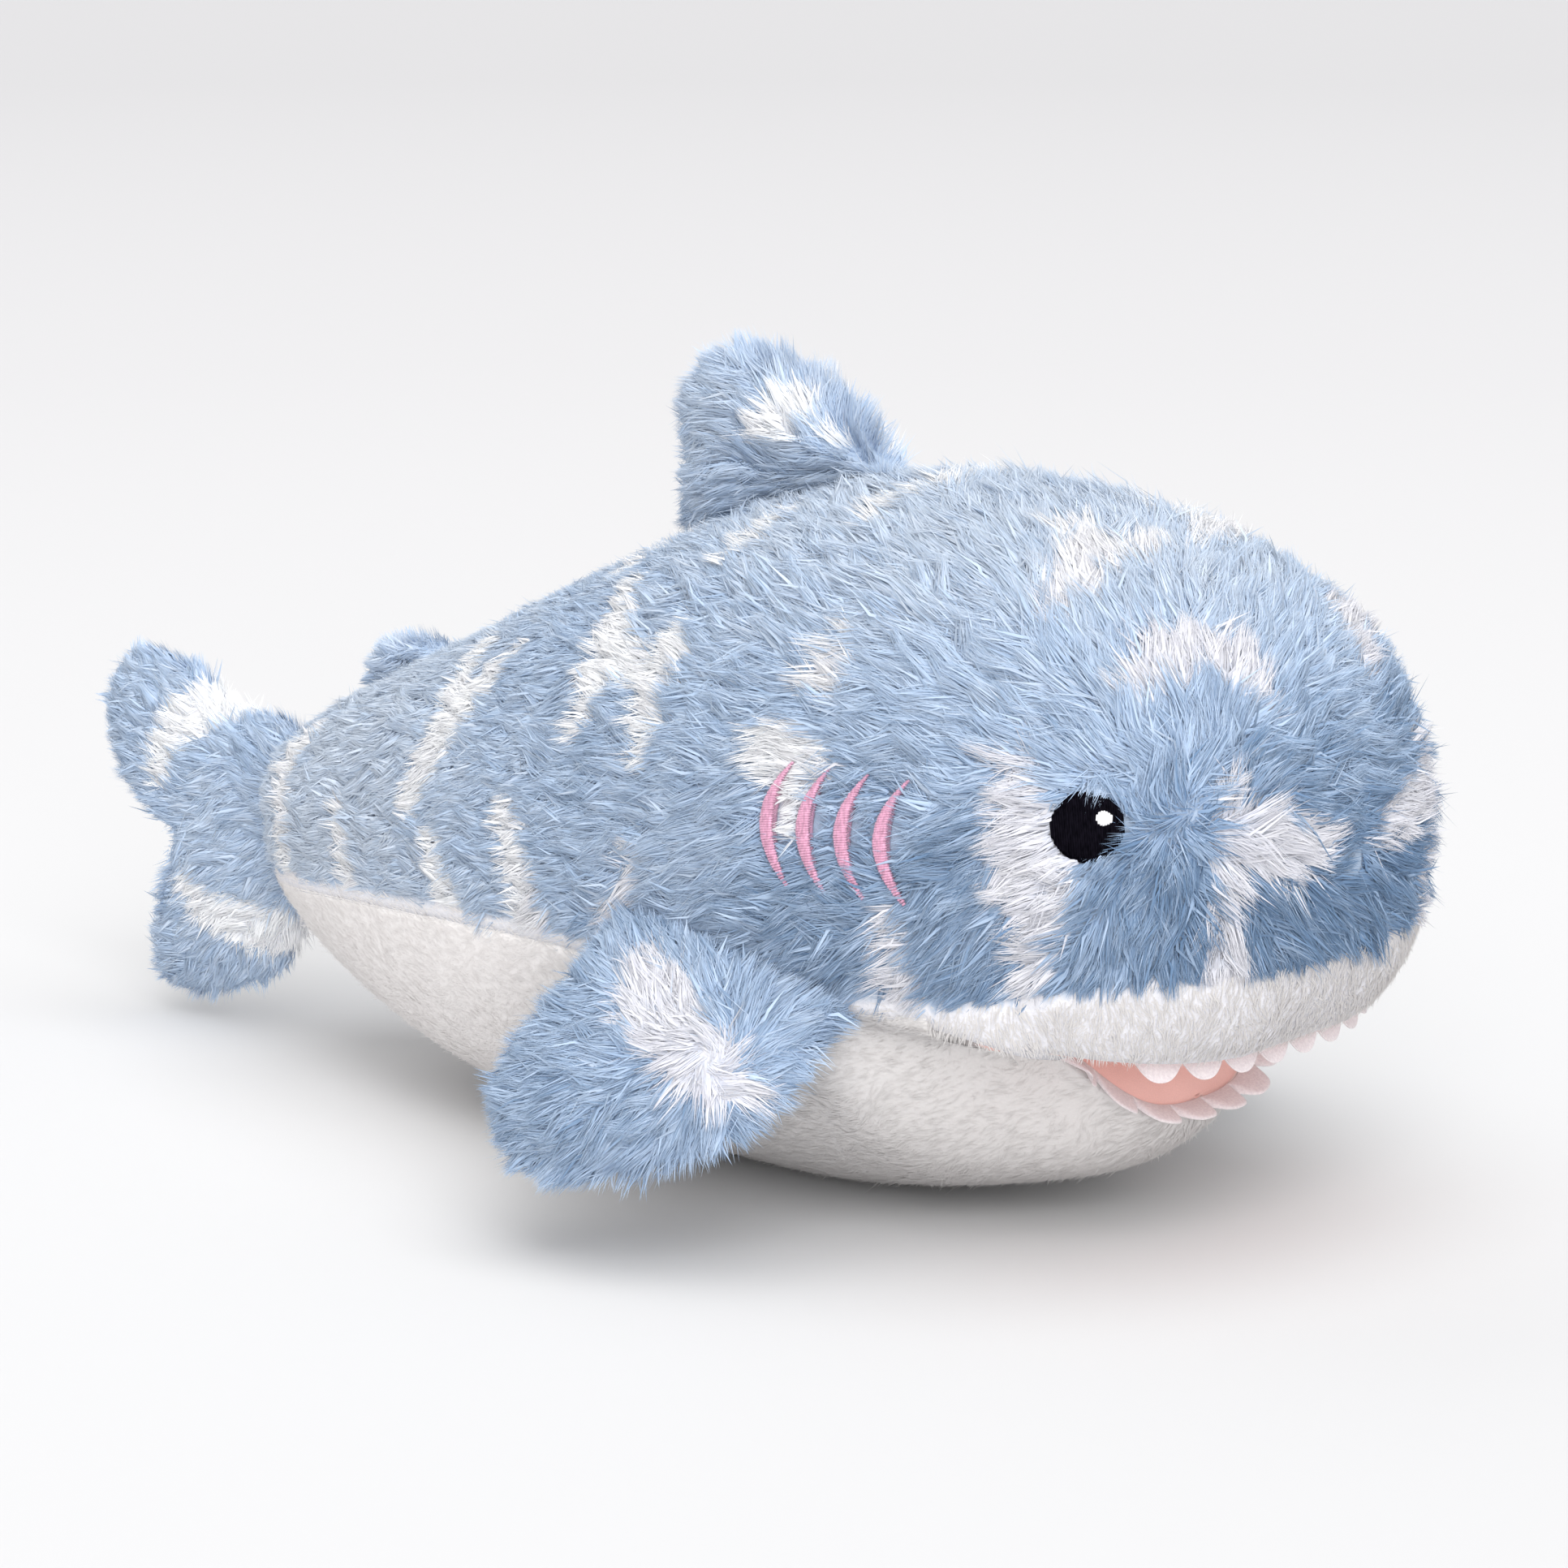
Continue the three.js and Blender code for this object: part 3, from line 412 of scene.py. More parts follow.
def scatter(points, normals, weight, density, rng):
    """Places spread evenly over a grid: as many in each cell as its area times the weight and density."""
    a, b = points[:-1], np.roll(points, -1, axis=1)[:-1]
    c, d = points[1:], np.roll(points, -1, axis=1)[1:]
    area = (np.linalg.norm(np.cross(b - a, c - a), axis=-1)
            + np.linalg.norm(np.cross(b - d, c - d), axis=-1)) / 2
    middle = (a + b + c + d) / 4
    share = (area * weight(middle)).ravel()
    total = share.sum()
    count = int(total * density)
    step = (np.arange(count) + rng.uniform(0, 1, count)) / count * total
    cell = np.minimum(np.searchsorted(np.cumsum(share), step), len(share) - 1)
    i, j = np.divmod(cell, points.shape[1])
    u, v = rng.uniform(0, 1, (2, count, 1))
    k = (j + 1) % points.shape[1]

    def between(field):
        """A field of the grid at the places, by the four corners of their cells."""
        return ((1 - u) * ((1 - v) * field[i, j] + v * field[i, k])
                + u * ((1 - v) * field[i + 1, j] + v * field[i + 1, k]))

    return between(points), unit(between(normals))


def new_mesh(name, points, triangles, material, uv=None, normals=None):
    """A smooth mesh object from millimetre points and triangles, both whole arrays. Where each corner has its
    own normal, the edges are marked sharp, because a smooth edge would share one normal at a vertex."""
    mesh = bpy.data.meshes.new(name)
    points = np.asarray(points, np.float32).reshape(-1, 3) * MM
    triangles = np.asarray(triangles, np.int32).reshape(-1, 3)
    mesh.vertices.add(len(points))
    mesh.vertices.foreach_set("co", points.ravel())
    mesh.loops.add(triangles.size)
    mesh.loops.foreach_set("vertex_index", triangles.ravel())
    mesh.polygons.add(len(triangles))
    mesh.polygons.foreach_set("loop_start", np.arange(0, triangles.size, 3, dtype=np.int32))
    mesh.polygons.foreach_set("use_smooth", np.ones(len(triangles), bool))
    mesh.update(calc_edges=True)
    mesh.validate()
    if uv is not None:
        layer = mesh.uv_layers.new(name="OFBake")
        layer.data.foreach_set("uv", np.asarray(uv, np.float32)[triangles.ravel()].ravel())
    if normals is not None:
        corner = mesh.attributes.new("custom_normal", "FLOAT_VECTOR", "CORNER")
        corner.data.foreach_set("vector", np.asarray(normals, np.float32).ravel())
        crease = mesh.attributes.new("sharp_edge", "BOOLEAN", "EDGE")
        crease.data.foreach_set("value", np.ones(len(mesh.edges), bool))
    mesh.materials.append(material)
    piece = bpy.data.objects.new(name, mesh)
    bpy.context.scene.collection.objects.link(piece)
    return piece


def facing_out(points, triangles):
    """Triangles turned so that the closed shape they bound has a positive volume."""
    a, b, c = points[triangles[:, 0]], points[triangles[:, 1]], points[triangles[:, 2]]
    return triangles if (a * np.cross(b, c)).sum() > 0 else triangles[:, ::-1]


def closed_rings(rings):
    """Points and triangles of a skin over a stack of closed rings, shut by a fan at either end."""
    count, sides = rings.shape[:2]
    points = np.vstack([rings.reshape(-1, 3), rings[0].mean(0), rings[-1].mean(0)])
    i, j = np.meshgrid(np.arange(count - 1), np.arange(sides), indexing="ij")
    a, b = i * sides + j, i * sides + (j + 1) % sides
    walls = np.stack([a, b, a + sides, b, b + sides, a + sides], -1).reshape(-1, 3)
    ring = np.arange(sides)
    turn = (ring + 1) % sides
    last = (count - 1) * sides
    start = np.stack([turn, ring, np.full(sides, count * sides)], -1)
    end = np.stack([last + ring, last + turn, np.full(sides, count * sides + 1)], -1)
    return points, facing_out(points, np.vstack([walls, start, end]))


def slab(top, under):
    """Points and triangles of a closed sheet between two grids of the same count, joined round the rim."""
    rows, columns = top.shape[:2]
    index = np.arange(rows * columns).reshape(rows, columns)
    a, b, c, d = index[:-1, :-1], index[1:, :-1], index[1:, 1:], index[:-1, 1:]
    face = np.stack([a, b, c, a, c, d], -1).reshape(-1, 3)
    rim = np.concatenate([index[0, :-1], index[:-1, -1], index[-1, :0:-1], index[:0:-1, 0]])
    turn = np.roll(rim, -1)
    low = rows * columns
    wall = np.concatenate([
        np.stack([rim, turn, rim + low], -1),
        np.stack([turn, turn + low, rim + low], -1),
    ])
    points = np.vstack([top.reshape(-1, 3), under.reshape(-1, 3)])
    return points, facing_out(points, np.vstack([face, face[:, ::-1] + low, wall]))


def bundle(path, across, up, radius, sides, blunt, start=0.0):
    """Tapering tubes along many paths at once: a ring of a few sides at each step, a point at the end, and
    a flat foot or a second point at the start. Returns points (tube, point, 3) and triangles of one tube."""
    count = len(path)
    turn = start + 2 * math.pi * np.arange(sides) / sides
    first = 0 if blunt else 1
    spoke = np.cos(turn)[:, None] * across[:, :, None] + np.sin(turn)[:, None] * up[:, :, None]
    rings = path[:, first:-1, None] + radius[:, first:-1, None, None] * spoke[:, first:-1]
    tube = [rings.reshape(count, -1, 3), path[:, -1:]] + ([] if blunt else [path[:, :1]])
    levels = rings.shape[1]
    tip = levels * sides
    k = np.arange(sides)
    n = (k + 1) % sides
    one = [np.stack([k + r, n + r, k + r + sides, n + r, n + r + sides, k + r + sides], -1).reshape(-1, 3)
           for r in range(0, (levels - 1) * sides, sides)]
    one.append(np.stack([k + tip - sides, n + tip - sides, np.full(sides, tip)], -1))
    if blunt:
        one.append(np.stack([np.zeros(sides - 2, int), k[2:], k[1:-1]], -1))
    else:
        one.append(np.stack([n, k, np.full(sides, tip + 1)], -1))
    one = np.vstack(one)
    return np.concatenate(tube, axis=1), one


def repeated(points, triangle):
    """Triangles of many like shapes from the triangles of one and the points of all."""
    return (triangle[None] + (np.arange(len(points)) * points.shape[1])[:, None, None]).reshape(-1, 3)


def joined(*shapes):
    """Several sets of points and triangles as one."""
    start = np.cumsum([0] + [len(p) for p, _ in shapes[:-1]])
    return np.vstack([p for p, _ in shapes]), np.vstack([t + s for (_, t), s in zip(shapes, start)])


def put_on(piece, body, slot, *nodes, bend=None):
    """Rides a piece on a body, or where a bend is given bakes its place into its points instead, and hides the solids
    that it stands for. The slot is not used."""
    if bend:
        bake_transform(piece)
    else:
        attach(piece, body)
    if nodes:
        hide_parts(*nodes)


def mark_white_or_painted_light(pad, share):
    """Keeps a share at each point of a pad for its backing to read: of white marking, or on the belly of the lighter
    rear against the painted shade under the jaw.
    """
    attribute = pad.data.attributes.new("marking", "FLOAT", "POINT")
    attribute.data.foreach_set("value", share.astype(np.float32))


# Finishes.

def nodes_of(name):
    """A new material, its node tree and the shader in it."""
    material = bpy.data.materials.new(name)
    material.use_nodes = True
    tree = material.node_tree
    return material, tree, tree.nodes["Principled BSDF"]


def settle(node, values):
    """Sets inputs of a node by name."""
    for name, value in values.items():
        node.inputs[name].default_value = value


def dress(tree, shader, look, values):
    """Feeds a shader's colour from a socket and sets its other inputs by name."""
    tree.links.new(look, shader.inputs["Base Color"])
    settle(shader, values)


def ramp(tree, source, stops):
    """A colour ramp fed by a socket, with (place, colour) stops."""
    node = tree.nodes.new("ShaderNodeValToRGB")
    element = node.color_ramp.elements
    while len(element) < len(stops):
        element.new(0.5)
    for item, (place, colour) in zip(element, stops):
        item.position = place
        item.color = (*colour, 1)
    tree.links.new(source, node.inputs["Fac"])
    return node.outputs["Color"]


def mixed(tree, kind, factor, a, b):
    """A colour mix of two sockets or colours, its factor a number or a socket."""
    node = tree.nodes.new("ShaderNodeMix")
    node.data_type = "RGBA"
    node.blend_type = kind
    for socket, value in ((node.inputs[0], factor), (node.inputs[6], a), (node.inputs[7], b)):
        if isinstance(value, bpy.types.NodeSocket):
            tree.links.new(value, socket)
        elif isinstance(value, (int, float)):
            socket.default_value = value
        else:
            socket.default_value = (*value, 1)
    return node.outputs[2]


def noise(tree, scale, detail, stretch=None, source=None):
    """A noise texture, its scale in cycles a metre, on Object coordinates unless another socket is its source."""
    if source is None:
        source = tree.nodes.new("ShaderNodeTexCoord").outputs["Object"]
    if stretch:
        mapping = tree.nodes.new("ShaderNodeMapping")
        settle(mapping, {"Scale": stretch})
        tree.links.new(source, mapping.inputs["Vector"])
        source = mapping.outputs["Vector"]
    node = tree.nodes.new("ShaderNodeTexNoise")
    settle(node, {"Scale": scale, "Detail": detail})
    tree.links.new(source, node.inputs["Vector"])
    return node.outputs["Fac"]


def bump(tree, shader, height, strength, distance):
    """Fine relief from a height socket; distance in metres."""
    node = tree.nodes.new("ShaderNodeBump")
    settle(node, {"Strength": strength, "Distance": distance})
    tree.links.new(height, node.inputs["Height"])
    tree.links.new(node.outputs["Normal"], shader.inputs["Normal"])


def pile_finish(name, tones, painted_root_shade, streaks):
    """Fibre colour: the strand's own map gives its tone across and the place from root to tip along, with painted
    shade darkening the strand towards its root.
    """
    material, tree, shader = nodes_of(name)
    own = tree.nodes.new("ShaderNodeUVMap")
    own.uv_map = "OFBake"
    parts = tree.nodes.new("ShaderNodeSeparateXYZ")
    tree.links.new(own.outputs["UV"], parts.inputs[0])
    tone = ramp(tree, parts.outputs["X"], tones)
    shade = ramp(tree, parts.outputs["Y"], painted_root_shade)
    hairs = noise(tree, 1.0, 2.0, (190.0, 2.5, 1.0), own.outputs["UV"])
    streak = ramp(tree, hairs, [(0.32, streaks), (0.62, (1, 1, 1))])
    coat = mixed(tree, "MULTIPLY", 1.0, tone, shade)
    look = mixed(tree, "MULTIPLY", 1.0, coat, streak)
    dress(tree, shader, look, {"Roughness": 0.85, "Specular IOR Level": 0.0})
    return material


def let_through(tree, shader, look, share):
    """Mixes a share of light that passes through thin cloth into its shader."""
    thin = tree.nodes.new("ShaderNodeBsdfTranslucent")
    both = tree.nodes.new("ShaderNodeMixShader")
    settle(both, {"Fac": share})
    tree.links.new(look, thin.inputs["Color"])
    tree.links.new(shader.outputs[0], both.inputs[1])
    tree.links.new(thin.outputs[0], both.inputs[2])
    tree.links.new(both.outputs[0], tree.nodes["Material Output"].inputs["Surface"])


def backing_finish(name, plain, marked, fleck, relief):
    """Knitted backing under the pile: two tones by the marking attribute, on the belly a painted shade under the jaw
    and a lighter rear, with a fine loop noise.
    """
    material, tree, shader = nodes_of(name)
    mark = tree.nodes.new("ShaderNodeAttribute")
    mark.attribute_name = "marking"
    cloth = mixed(tree, "MIX", mark.outputs["Fac"], plain, marked)
    loops = noise(tree, 900.0, 2.0)
    flecks = ramp(tree, loops, [(0.3, fleck), (0.7, (1, 1, 1))])
    dress(tree, shader, mixed(tree, "MULTIPLY", 1.0, cloth, flecks), {"Roughness": 0.95})
    bump(tree, shader, loops, relief, 0.0006)
    return material


def thread_finish(name, dark, light, roughness, sheen):
    """Satin thread: a streaked tone along the fibres and a soft gloss."""
    material, tree, shader = nodes_of(name)
    streaks = noise(tree, 1500.0, 2.0, (1.0, 1.0, 0.35))
    tone = ramp(tree, streaks, [(0.3, dark), (0.7, light)])
    dress(tree, shader, tone, {"Roughness": roughness, "Specular IOR Level": 1.6 * sheen, "Sheen Weight": sheen})
    bump(tree, shader, streaks, 0.25, 0.0002)
    return material


def lining_finish(name, pink):
    """Smooth knit of the mouth: a broad and a fine change of tone, and a fine weave in relief."""
    material, tree, shader = nodes_of(name)
    weave = noise(tree, 2600.0, 2.0)
    broad = ramp(tree, noise(tree, 60.0, 2.0), [(0.3, pink * 0.93), (0.7, np.minimum(pink * 1.05, 1))])
    fine = ramp(tree, weave, [(0.3, (0.93, 0.92, 0.92)), (0.7, (1, 1, 1))])
    dress(tree, shader, mixed(tree, "MULTIPLY", 1.0, broad, fine), {"Roughness": 0.7, "Sheen Weight": 0.35})
    bump(tree, shader, weave, 0.2, 0.0002)
    return material


def felt_finish(name, felt):
    """Felt of the teeth: matted fibres, with some of the light passing through."""
    material, tree, shader = nodes_of(name)
    fibre = noise(tree, 1400.0, 4.0)
    tone = ramp(tree, fibre, [(0.3, felt * (0.90, 0.88, 0.90)), (0.7, np.minimum(felt * 1.06, 1))])
    dress(tree, shader, tone, {"Roughness": 0.9, "Sheen Weight": 0.3})
    bump(tree, shader, fibre, 0.4, 0.0004)
    let_through(tree, shader, tone, 0.3)
    return material


def floor_finish(name):
    """Matt paper whose tone falls off with the distance from the middle of the floor, a painted fall-off of the light.
    """
    material, tree, shader = nodes_of(name)
    place = tree.nodes.new("ShaderNodeTexCoord")
    length = tree.nodes.new("ShaderNodeVectorMath")
    length.operation = "LENGTH"
    tree.links.new(place.outputs["Object"], length.inputs[0])
    far = tree.nodes.new("ShaderNodeMath")
    far.operation = "MULTIPLY"
    far.inputs[1].default_value = 1 / FLOOR_RADIUS
    tree.links.new(length.outputs["Value"], far.inputs[0])
    tone = ramp(tree, far.outputs[0], FLOOR_PAINTED_FALLOFF)
    dress(tree, shader, tone, {"Roughness": 0.9, "Specular IOR Level": 0.1})
    return material


# Pile.

def marking_share(points, markings, seed):
    """True on white markings: their edge is made ragged by a coarse and a fine ripple, and lies a little further
    out towards the tail."""
    gap = from_markings(to_right(points), markings)
    ragged = 1.1 * ripple(points, 9.0, seed) + 0.5 * ripple(points, 4.0, seed + 1)
    return gap + ragged < 1.6 + 1.4 * smooth(-points[:, 0], -60, 20)


def tuft_mean(vectors, member):
    """The mean of vectors over each tuft, given to every member of it."""
    total = np.stack([np.bincount(member, column) for column in vectors.T], -1)
    return (total / np.bincount(member)[:, None])[member]


def fibres(points, normals, flow, length, lean, tuft, pull, upright, rng):
    """Paths of pile locks in three runs: each leaves its root at the first lean and ends at the second, measured
    from the skin's normal towards the flow, and waves a little to the sides; locks that start in one tuft are
    pulled towards its mean tip. Returns paths (lock, 4, 3), the way each lies and its tuft."""
    count = len(points)
    jitter = rng.normal(size=(count, 5))
    loose = points + 0.25 * tuft * rng.normal(size=(count, 3))
    _, member = np.unique(np.floor(loose / tuft).astype(int), axis=0, return_inverse=True)
    member = member.ravel()
    groups = member.max() + 1
    twist = 0.48 * ripple(points, 26.0, 5) + 0.32 * rng.normal(size=groups)[member] + 0.14 * jitter[:, 0]
    side = np.cross(normals, flow)
    lie = flow * np.cos(twist)[:, None] + side * np.sin(twist)[:, None]
    side = np.cross(normals, lie)
    stretch = np.exp(0.14 * rng.normal(size=groups))[member] * np.exp(0.10 * jitter[:, 1])
    run = (length * stretch)[:, None] / 3
    lift = 4 * rng.normal(size=groups)[member] + 3 * jitter[:, 2]
    lift = lift - 24 * (rng.uniform(size=count) < 0.06) - upright
    path = [points]
    for share in (0.17, 0.5, 0.83):
        angle = np.radians(np.clip(lean[0] + (lean[1] - lean[0]) * share + lift, 15, 92))[:, None]
        path.append(path[-1] + run * (np.cos(angle) * normals + np.sin(angle) * lie))
    path = np.stack(path, 1)
    gather = pull * np.clip(1 + 0.3 * jitter[:, 3], 0.2, 1.5)
    shift = (tuft_mean(path[:, 3], member) - path[:, 3]) * gather[:, None]
    wave = side * (0.05 * length * (jitter[:, 4] + rng.normal(size=groups)[member]))[:, None]
    path[:, 1] += wave
    path[:, 2] += 0.4 * shift + 0.5 * wave
    path[:, 3] += shift - 0.6 * wave
    return path, lie, member


# Kinds of strand: share, steps of the path, width in fibre widths, half widths along it, and half its
# stretch of the colour map.
LONG_PILE = ((0.10, (0, 1, 3), 1.0, (0.36, 0.50, 0.0), 0.012), (0.90, (0, 3), 0.52, (0.50, 0.0), 0.006))
SHORT_PILE = ((1.0, (0, 3), 0.5, (0.50, 0.0), 0.01),)
SHORT_STYLE = {"lean": (78, 88), "tuft": 3.0, "pull": 0.3, "kinds": SHORT_PILE, "swell": 0.1}


def pile(name, points, normals, flow, length, width, tone, material, rng, lean=(73, 84), tuft=4.8, pull=0.58,
         kinds=LONG_PILE, swell=1.4, upright=0.0):
    """One piece of pile: flat ridged strands that lie over one another, most of them fine. The colour map runs
    across by tone and along from root to tip. The shading normals follow the skin and swell over each tuft,
    as the light falls on dense pile."""
    path, lie, member = fibres(points, normals, flow, length, lean, tuft, pull, upright, rng)
    path[..., 2] = np.maximum(path[..., 2], FLOOR_GAP)
    low, high = np.where((tone > 0.5)[:, None], WHITE_TONES, BLUE_TONES).T
    tone = np.clip(tone + 0.03 * rng.normal(size=member.max() + 1)[member], low, high)
    offset = points - tuft_mean(points, member)
    beside = unit(np.cross(normals, lie))
    crown = normals + swell / tuft * (dot(offset, beside) * beside + 0.4 * dot(offset, lie) * lie)
    turned = np.where(dot(np.cross(path[:, 3] - path[:, 0], beside), normals) < 0, -1, 1)
    stands = np.clip(np.broadcast_to(upright, len(points)) / 26, 0, 1)[:, None, None]
    pick = rng.uniform(size=len(points))
    shapes, maps, bends, past = [], [], [], 0.0
    for share, steps, wide, profile, strip in kinds:
        own = (pick >= past) & (pick < past + share)
        past += share
        way = path[own][:, list(steps)]
        along = unit(np.gradient(way, axis=1))
        across = (turned * beside)[own][:, None] + 0 * way
        up = unit(np.cross(along, across))
        thick = wide * width * np.exp(0.2 * rng.normal(size=(len(way), 1))) * np.array([profile])
        strands, one = bundle(way, across, 0.28 * up, thick, 3, True, math.pi / 2)
        rings = len(steps) - 1
        side = np.append(np.tile([0, -1, 1], rings), 0)
        ridge = (one % 3 == 0) & (one != 3 * rings)
        sign = np.where(ridge.any(1), 1.0, -1.0)[None, :, None, None]
        faced = (1 - stands[own]) * crown[own][:, None] + stands[own] * up[:, :1]
        bend = unit(sign * faced[:, None] + 0.15 * side[one][None, :, :, None] * across[:, :1, None])
        a, b, c = (strands[:, one[:, k]] for k in range(3))
        face = unit(np.cross(b - a, c - a))[:, :, None]
        bend = unit(bend + face * np.maximum(0.3 - dot(bend, face), 0))
        rise = np.append(np.repeat(np.linspace(0.02, 0.98, rings + 1)[:-1], 3), 0.98)
        uv = np.stack(np.broadcast_arrays(np.clip(tone[own][:, None] + strip * side, 0.01, 0.99), rise), -1)
        shapes.append((strands.reshape(-1, 3), repeated(strands, one)))
        maps.append(uv.reshape(-1, 2))
        bends.append(bend.reshape(-1, 3))
    every, triangles = joined(*shapes)
    return new_mesh(name, every, triangles, material, np.vstack(maps), np.vstack(bends))


def tones(white, base, points, rng):
    """Places across the blue-and-white map: the lower half is blue from deep to pale, the upper white, palest on the
    back, the rear and the high side; on the back and the high side that is painted top light."""
    broad = ripple(points, 6.0, 31) + 0.8 * ripple(points, 30.0, 32)
    spread = 0.03 * broad + 0.045 * rng.normal(size=len(white))
    x, z = points[:, 0], points[:, 2]
    painted_light_side = (1 - smooth(x, 75, 130)) * smooth(z, 88, 112)
    # White is painted paler on the back and the high side, as top light.
    pale = 0.64 + 0.28 * np.max([smooth(z, 165, 200), smooth(-x, -15, 30), painted_light_side], axis=0)
    return np.where(white, pale + spread, np.clip(base + spread, *BLUE_TONES))


def belly_clear_of_painted_shade(points):
    """Rises from 0 under the jaw, where the white is painted darker as shade, to 1 on the rear of the belly, where it
    is painted lighter.
    """
    return smooth(-points[:, 0], -60, 40)


def blue_tone_with_painted_light(points):
    """Blue tone of the body: deepest low on the cheeks and the snout, which is painted shade, paler on the back, which
    is painted top light, and paler towards the rear.
    """
    x, z = points[:, 0], points[:, 2]
    painted_cheek_shade = smooth(x, 40, 125) * (1 - smooth(z, 105, 160))
    snout = smooth(x, 172, 196) * (1 - smooth(z, 138, 168))
    return 0.26 - 0.13 * painted_cheek_shade - 0.08 * snout + 0.19 * smooth(-x, 0, 120) + 0.14 * smooth(z, 150, 195)


def brushed(points, normals, start, swirl=0.0):
    """Pile direction: along the skin, away from a point. Near the point it is turned round the normal, as a
    whorl or, where there is none, by a ripple."""
    away = points - np.array(start)
    gap = np.linalg.norm(away, axis=1, keepdims=True)
    loose = 1.5 * np.exp(-(gap / 26.0) ** 2) * ripple(points, 13.0, 77)[:, None]
    turn = swirl * np.exp(-(gap / 11.0) ** 2) + (loose if swirl == 0 else 0)
    flow = unit(away - dot(away, normals) * normals)
    return np.cos(turn) * flow + np.sin(turn) * np.cross(normals, flow)


class PlushSharkSizes(bpy.types.PropertyGroup):
    """Sizes of the pile and the stitching."""

    pile_head: bpy.props.FloatProperty(
        name="Head pile", description="Fibre length on the head", default=0.0115, unit="LENGTH")
    pile_rear: bpy.props.FloatProperty(
        name="Rear pile", description="Fibre length towards the tail", default=0.0072, unit="LENGTH")
    pile_fin: bpy.props.FloatProperty(
        name="Fin pile", description="Fibre length on the fins", default=0.0095, unit="LENGTH")
    pile_belly: bpy.props.FloatProperty(
        name="Belly pile", description="Fibre length on the belly and the lip", default=0.0036, unit="LENGTH")
    fibre_width: bpy.props.FloatProperty(
        name="Fibre width", description="Width of a strand at its root", default=0.00085, unit="LENGTH")
    density: bpy.props.FloatProperty(
        name="Density", description="Strands on a square millimetre of the sides", default=1.58, min=0.05)
    thread: bpy.props.FloatProperty(
        name="Thread", description="Spacing of the satin stitches", default=0.0006, unit="LENGTH")


class PlushSharkColours(bpy.types.PropertyGroup):
    """Colours of the cloths and threads."""

    blue: bpy.props.FloatVectorProperty(
        name="Blue pile", description="Middle tone of the blue fibres", subtype="COLOR",
        default=(0.488, 0.602, 0.765), min=0, max=1)
    white: bpy.props.FloatVectorProperty(
        name="White pile", description="Tone of the white markings", subtype="COLOR",
        default=(0.80, 0.79, 0.82), min=0, max=1)
    belly: bpy.props.FloatVectorProperty(
        name="Belly pile", description="Tone of the belly and the lip", subtype="COLOR",
        default=(0.78, 0.755, 0.745), min=0, max=1)
    lining: bpy.props.FloatVectorProperty(
        name="Mouth lining", description="Pink of the mouth", subtype="COLOR",
        default=(0.98, 0.60, 0.54), min=0, max=1)
    felt: bpy.props.FloatVectorProperty(
        name="Felt", description="White of the teeth", subtype="COLOR",
        default=(0.93, 0.88, 0.885), min=0, max=1)
    gill: bpy.props.FloatVectorProperty(
        name="Gill thread", description="Pink of the gill stripes", subtype="COLOR",
        default=(0.66, 0.335, 0.475), min=0, max=1)


def sizes():
    """The sizes in use, as a dictionary in millimetres."""
    held = bpy.context.scene.plush_shark_sizes
    names = [n for n in PlushSharkSizes.__annotations__ if n != "density"]
    return {n: getattr(held, n) / MM for n in names} | {"density": held.density}


def colour(name):
    """One of the colours in use."""
    return tuple(getattr(bpy.context.scene.plush_shark_colours, name))


def finish(name):
    """A finish by name, made once and then shared."""
    label = f"{name}_finish"
    if label in bpy.data.materials:
        return bpy.data.materials[label]
    blue, white, belly, pink, felt, gill = (
        np.array(colour(n)) for n in ("blue", "white", "belly", "lining", "felt", "gill"))
    blue_map = [(0.0, blue * (0.25, 0.35, 0.46)), (0.25, blue), (0.47, blue * 0.55 + 0.37),
                (0.53, white * (0.90, 0.91, 0.95)), (0.75, white), (1.0, np.minimum(white * 1.3, 1))]
    white_map = [(0.0, belly * 0.84), (0.5, belly), (1.0, np.minimum(belly * 1.2, 1))]
    # Strands are painted darker towards the root, as shade deep in the pile.
    blue_painted_root_shade = [(0, (0.84, 0.88, 0.94)), (0.4, (0.98, 0.985, 0.99)), (0.8, (1, 1, 1))]
    white_painted_root_shade = [(0, (0.96, 0.955, 0.955)), (0.4, (1, 1, 1))]
    make, *values = {
        "blue_and_white_pile": (pile_finish, blue_map, blue_painted_root_shade, (0.93, 0.95, 0.97)),
        "white_pile": (pile_finish, white_map, white_painted_root_shade, (0.97, 0.97, 0.97)),
        # The blue backing is painted darker than its pile, as shade down between the strands.
        "blue_backing": (backing_finish, blue * 0.85, white * 0.95, (0.92, 0.93, 0.95), 0.5),
        # The belly's backing is painted darker under the jaw, as shade, and lighter on the rear.
        "white_backing": (backing_finish, belly * 0.89, np.minimum(belly * 1.12, 1), (0.975, 0.975, 0.975), 0.25),
        "black_thread": (thread_finish, (0.002, 0.0018, 0.003), (0.007, 0.006, 0.010), 0.45, 0.0),
        "white_thread": (thread_finish, (0.78, 0.78, 0.8), (0.92, 0.92, 0.93), 0.45, 0.15),
        "pink_thread": (thread_finish, gill * 0.74, np.minimum(gill * 1.15 + 0.03, 1), 0.38, 0.15),
        "pink_lining": (lining_finish, pink),
        "white_felt": (felt_finish, felt),
    }[name]
    return make(label, *values)


# Where things are on the skin.

def pile_length(points):
    """Fibre length of the sides: long on the head, shorter towards the tail and round the embroidery."""
    size = sizes()
    right = to_right(points)
    length = size["pile_rear"] + (size["pile_head"] - size["pile_rear"]) * smooth(points[:, 0], -60, 90)
    near = np.linalg.norm(right - flank(EYE_X, EYE_Z, -1)[0], axis=1) - EYE_CLEARING
    length = length * (0.6 + 0.4 * smooth(near, -1, 7))
    return length * (0.62 + 0.38 * smooth(from_gills(right), 0, 5))


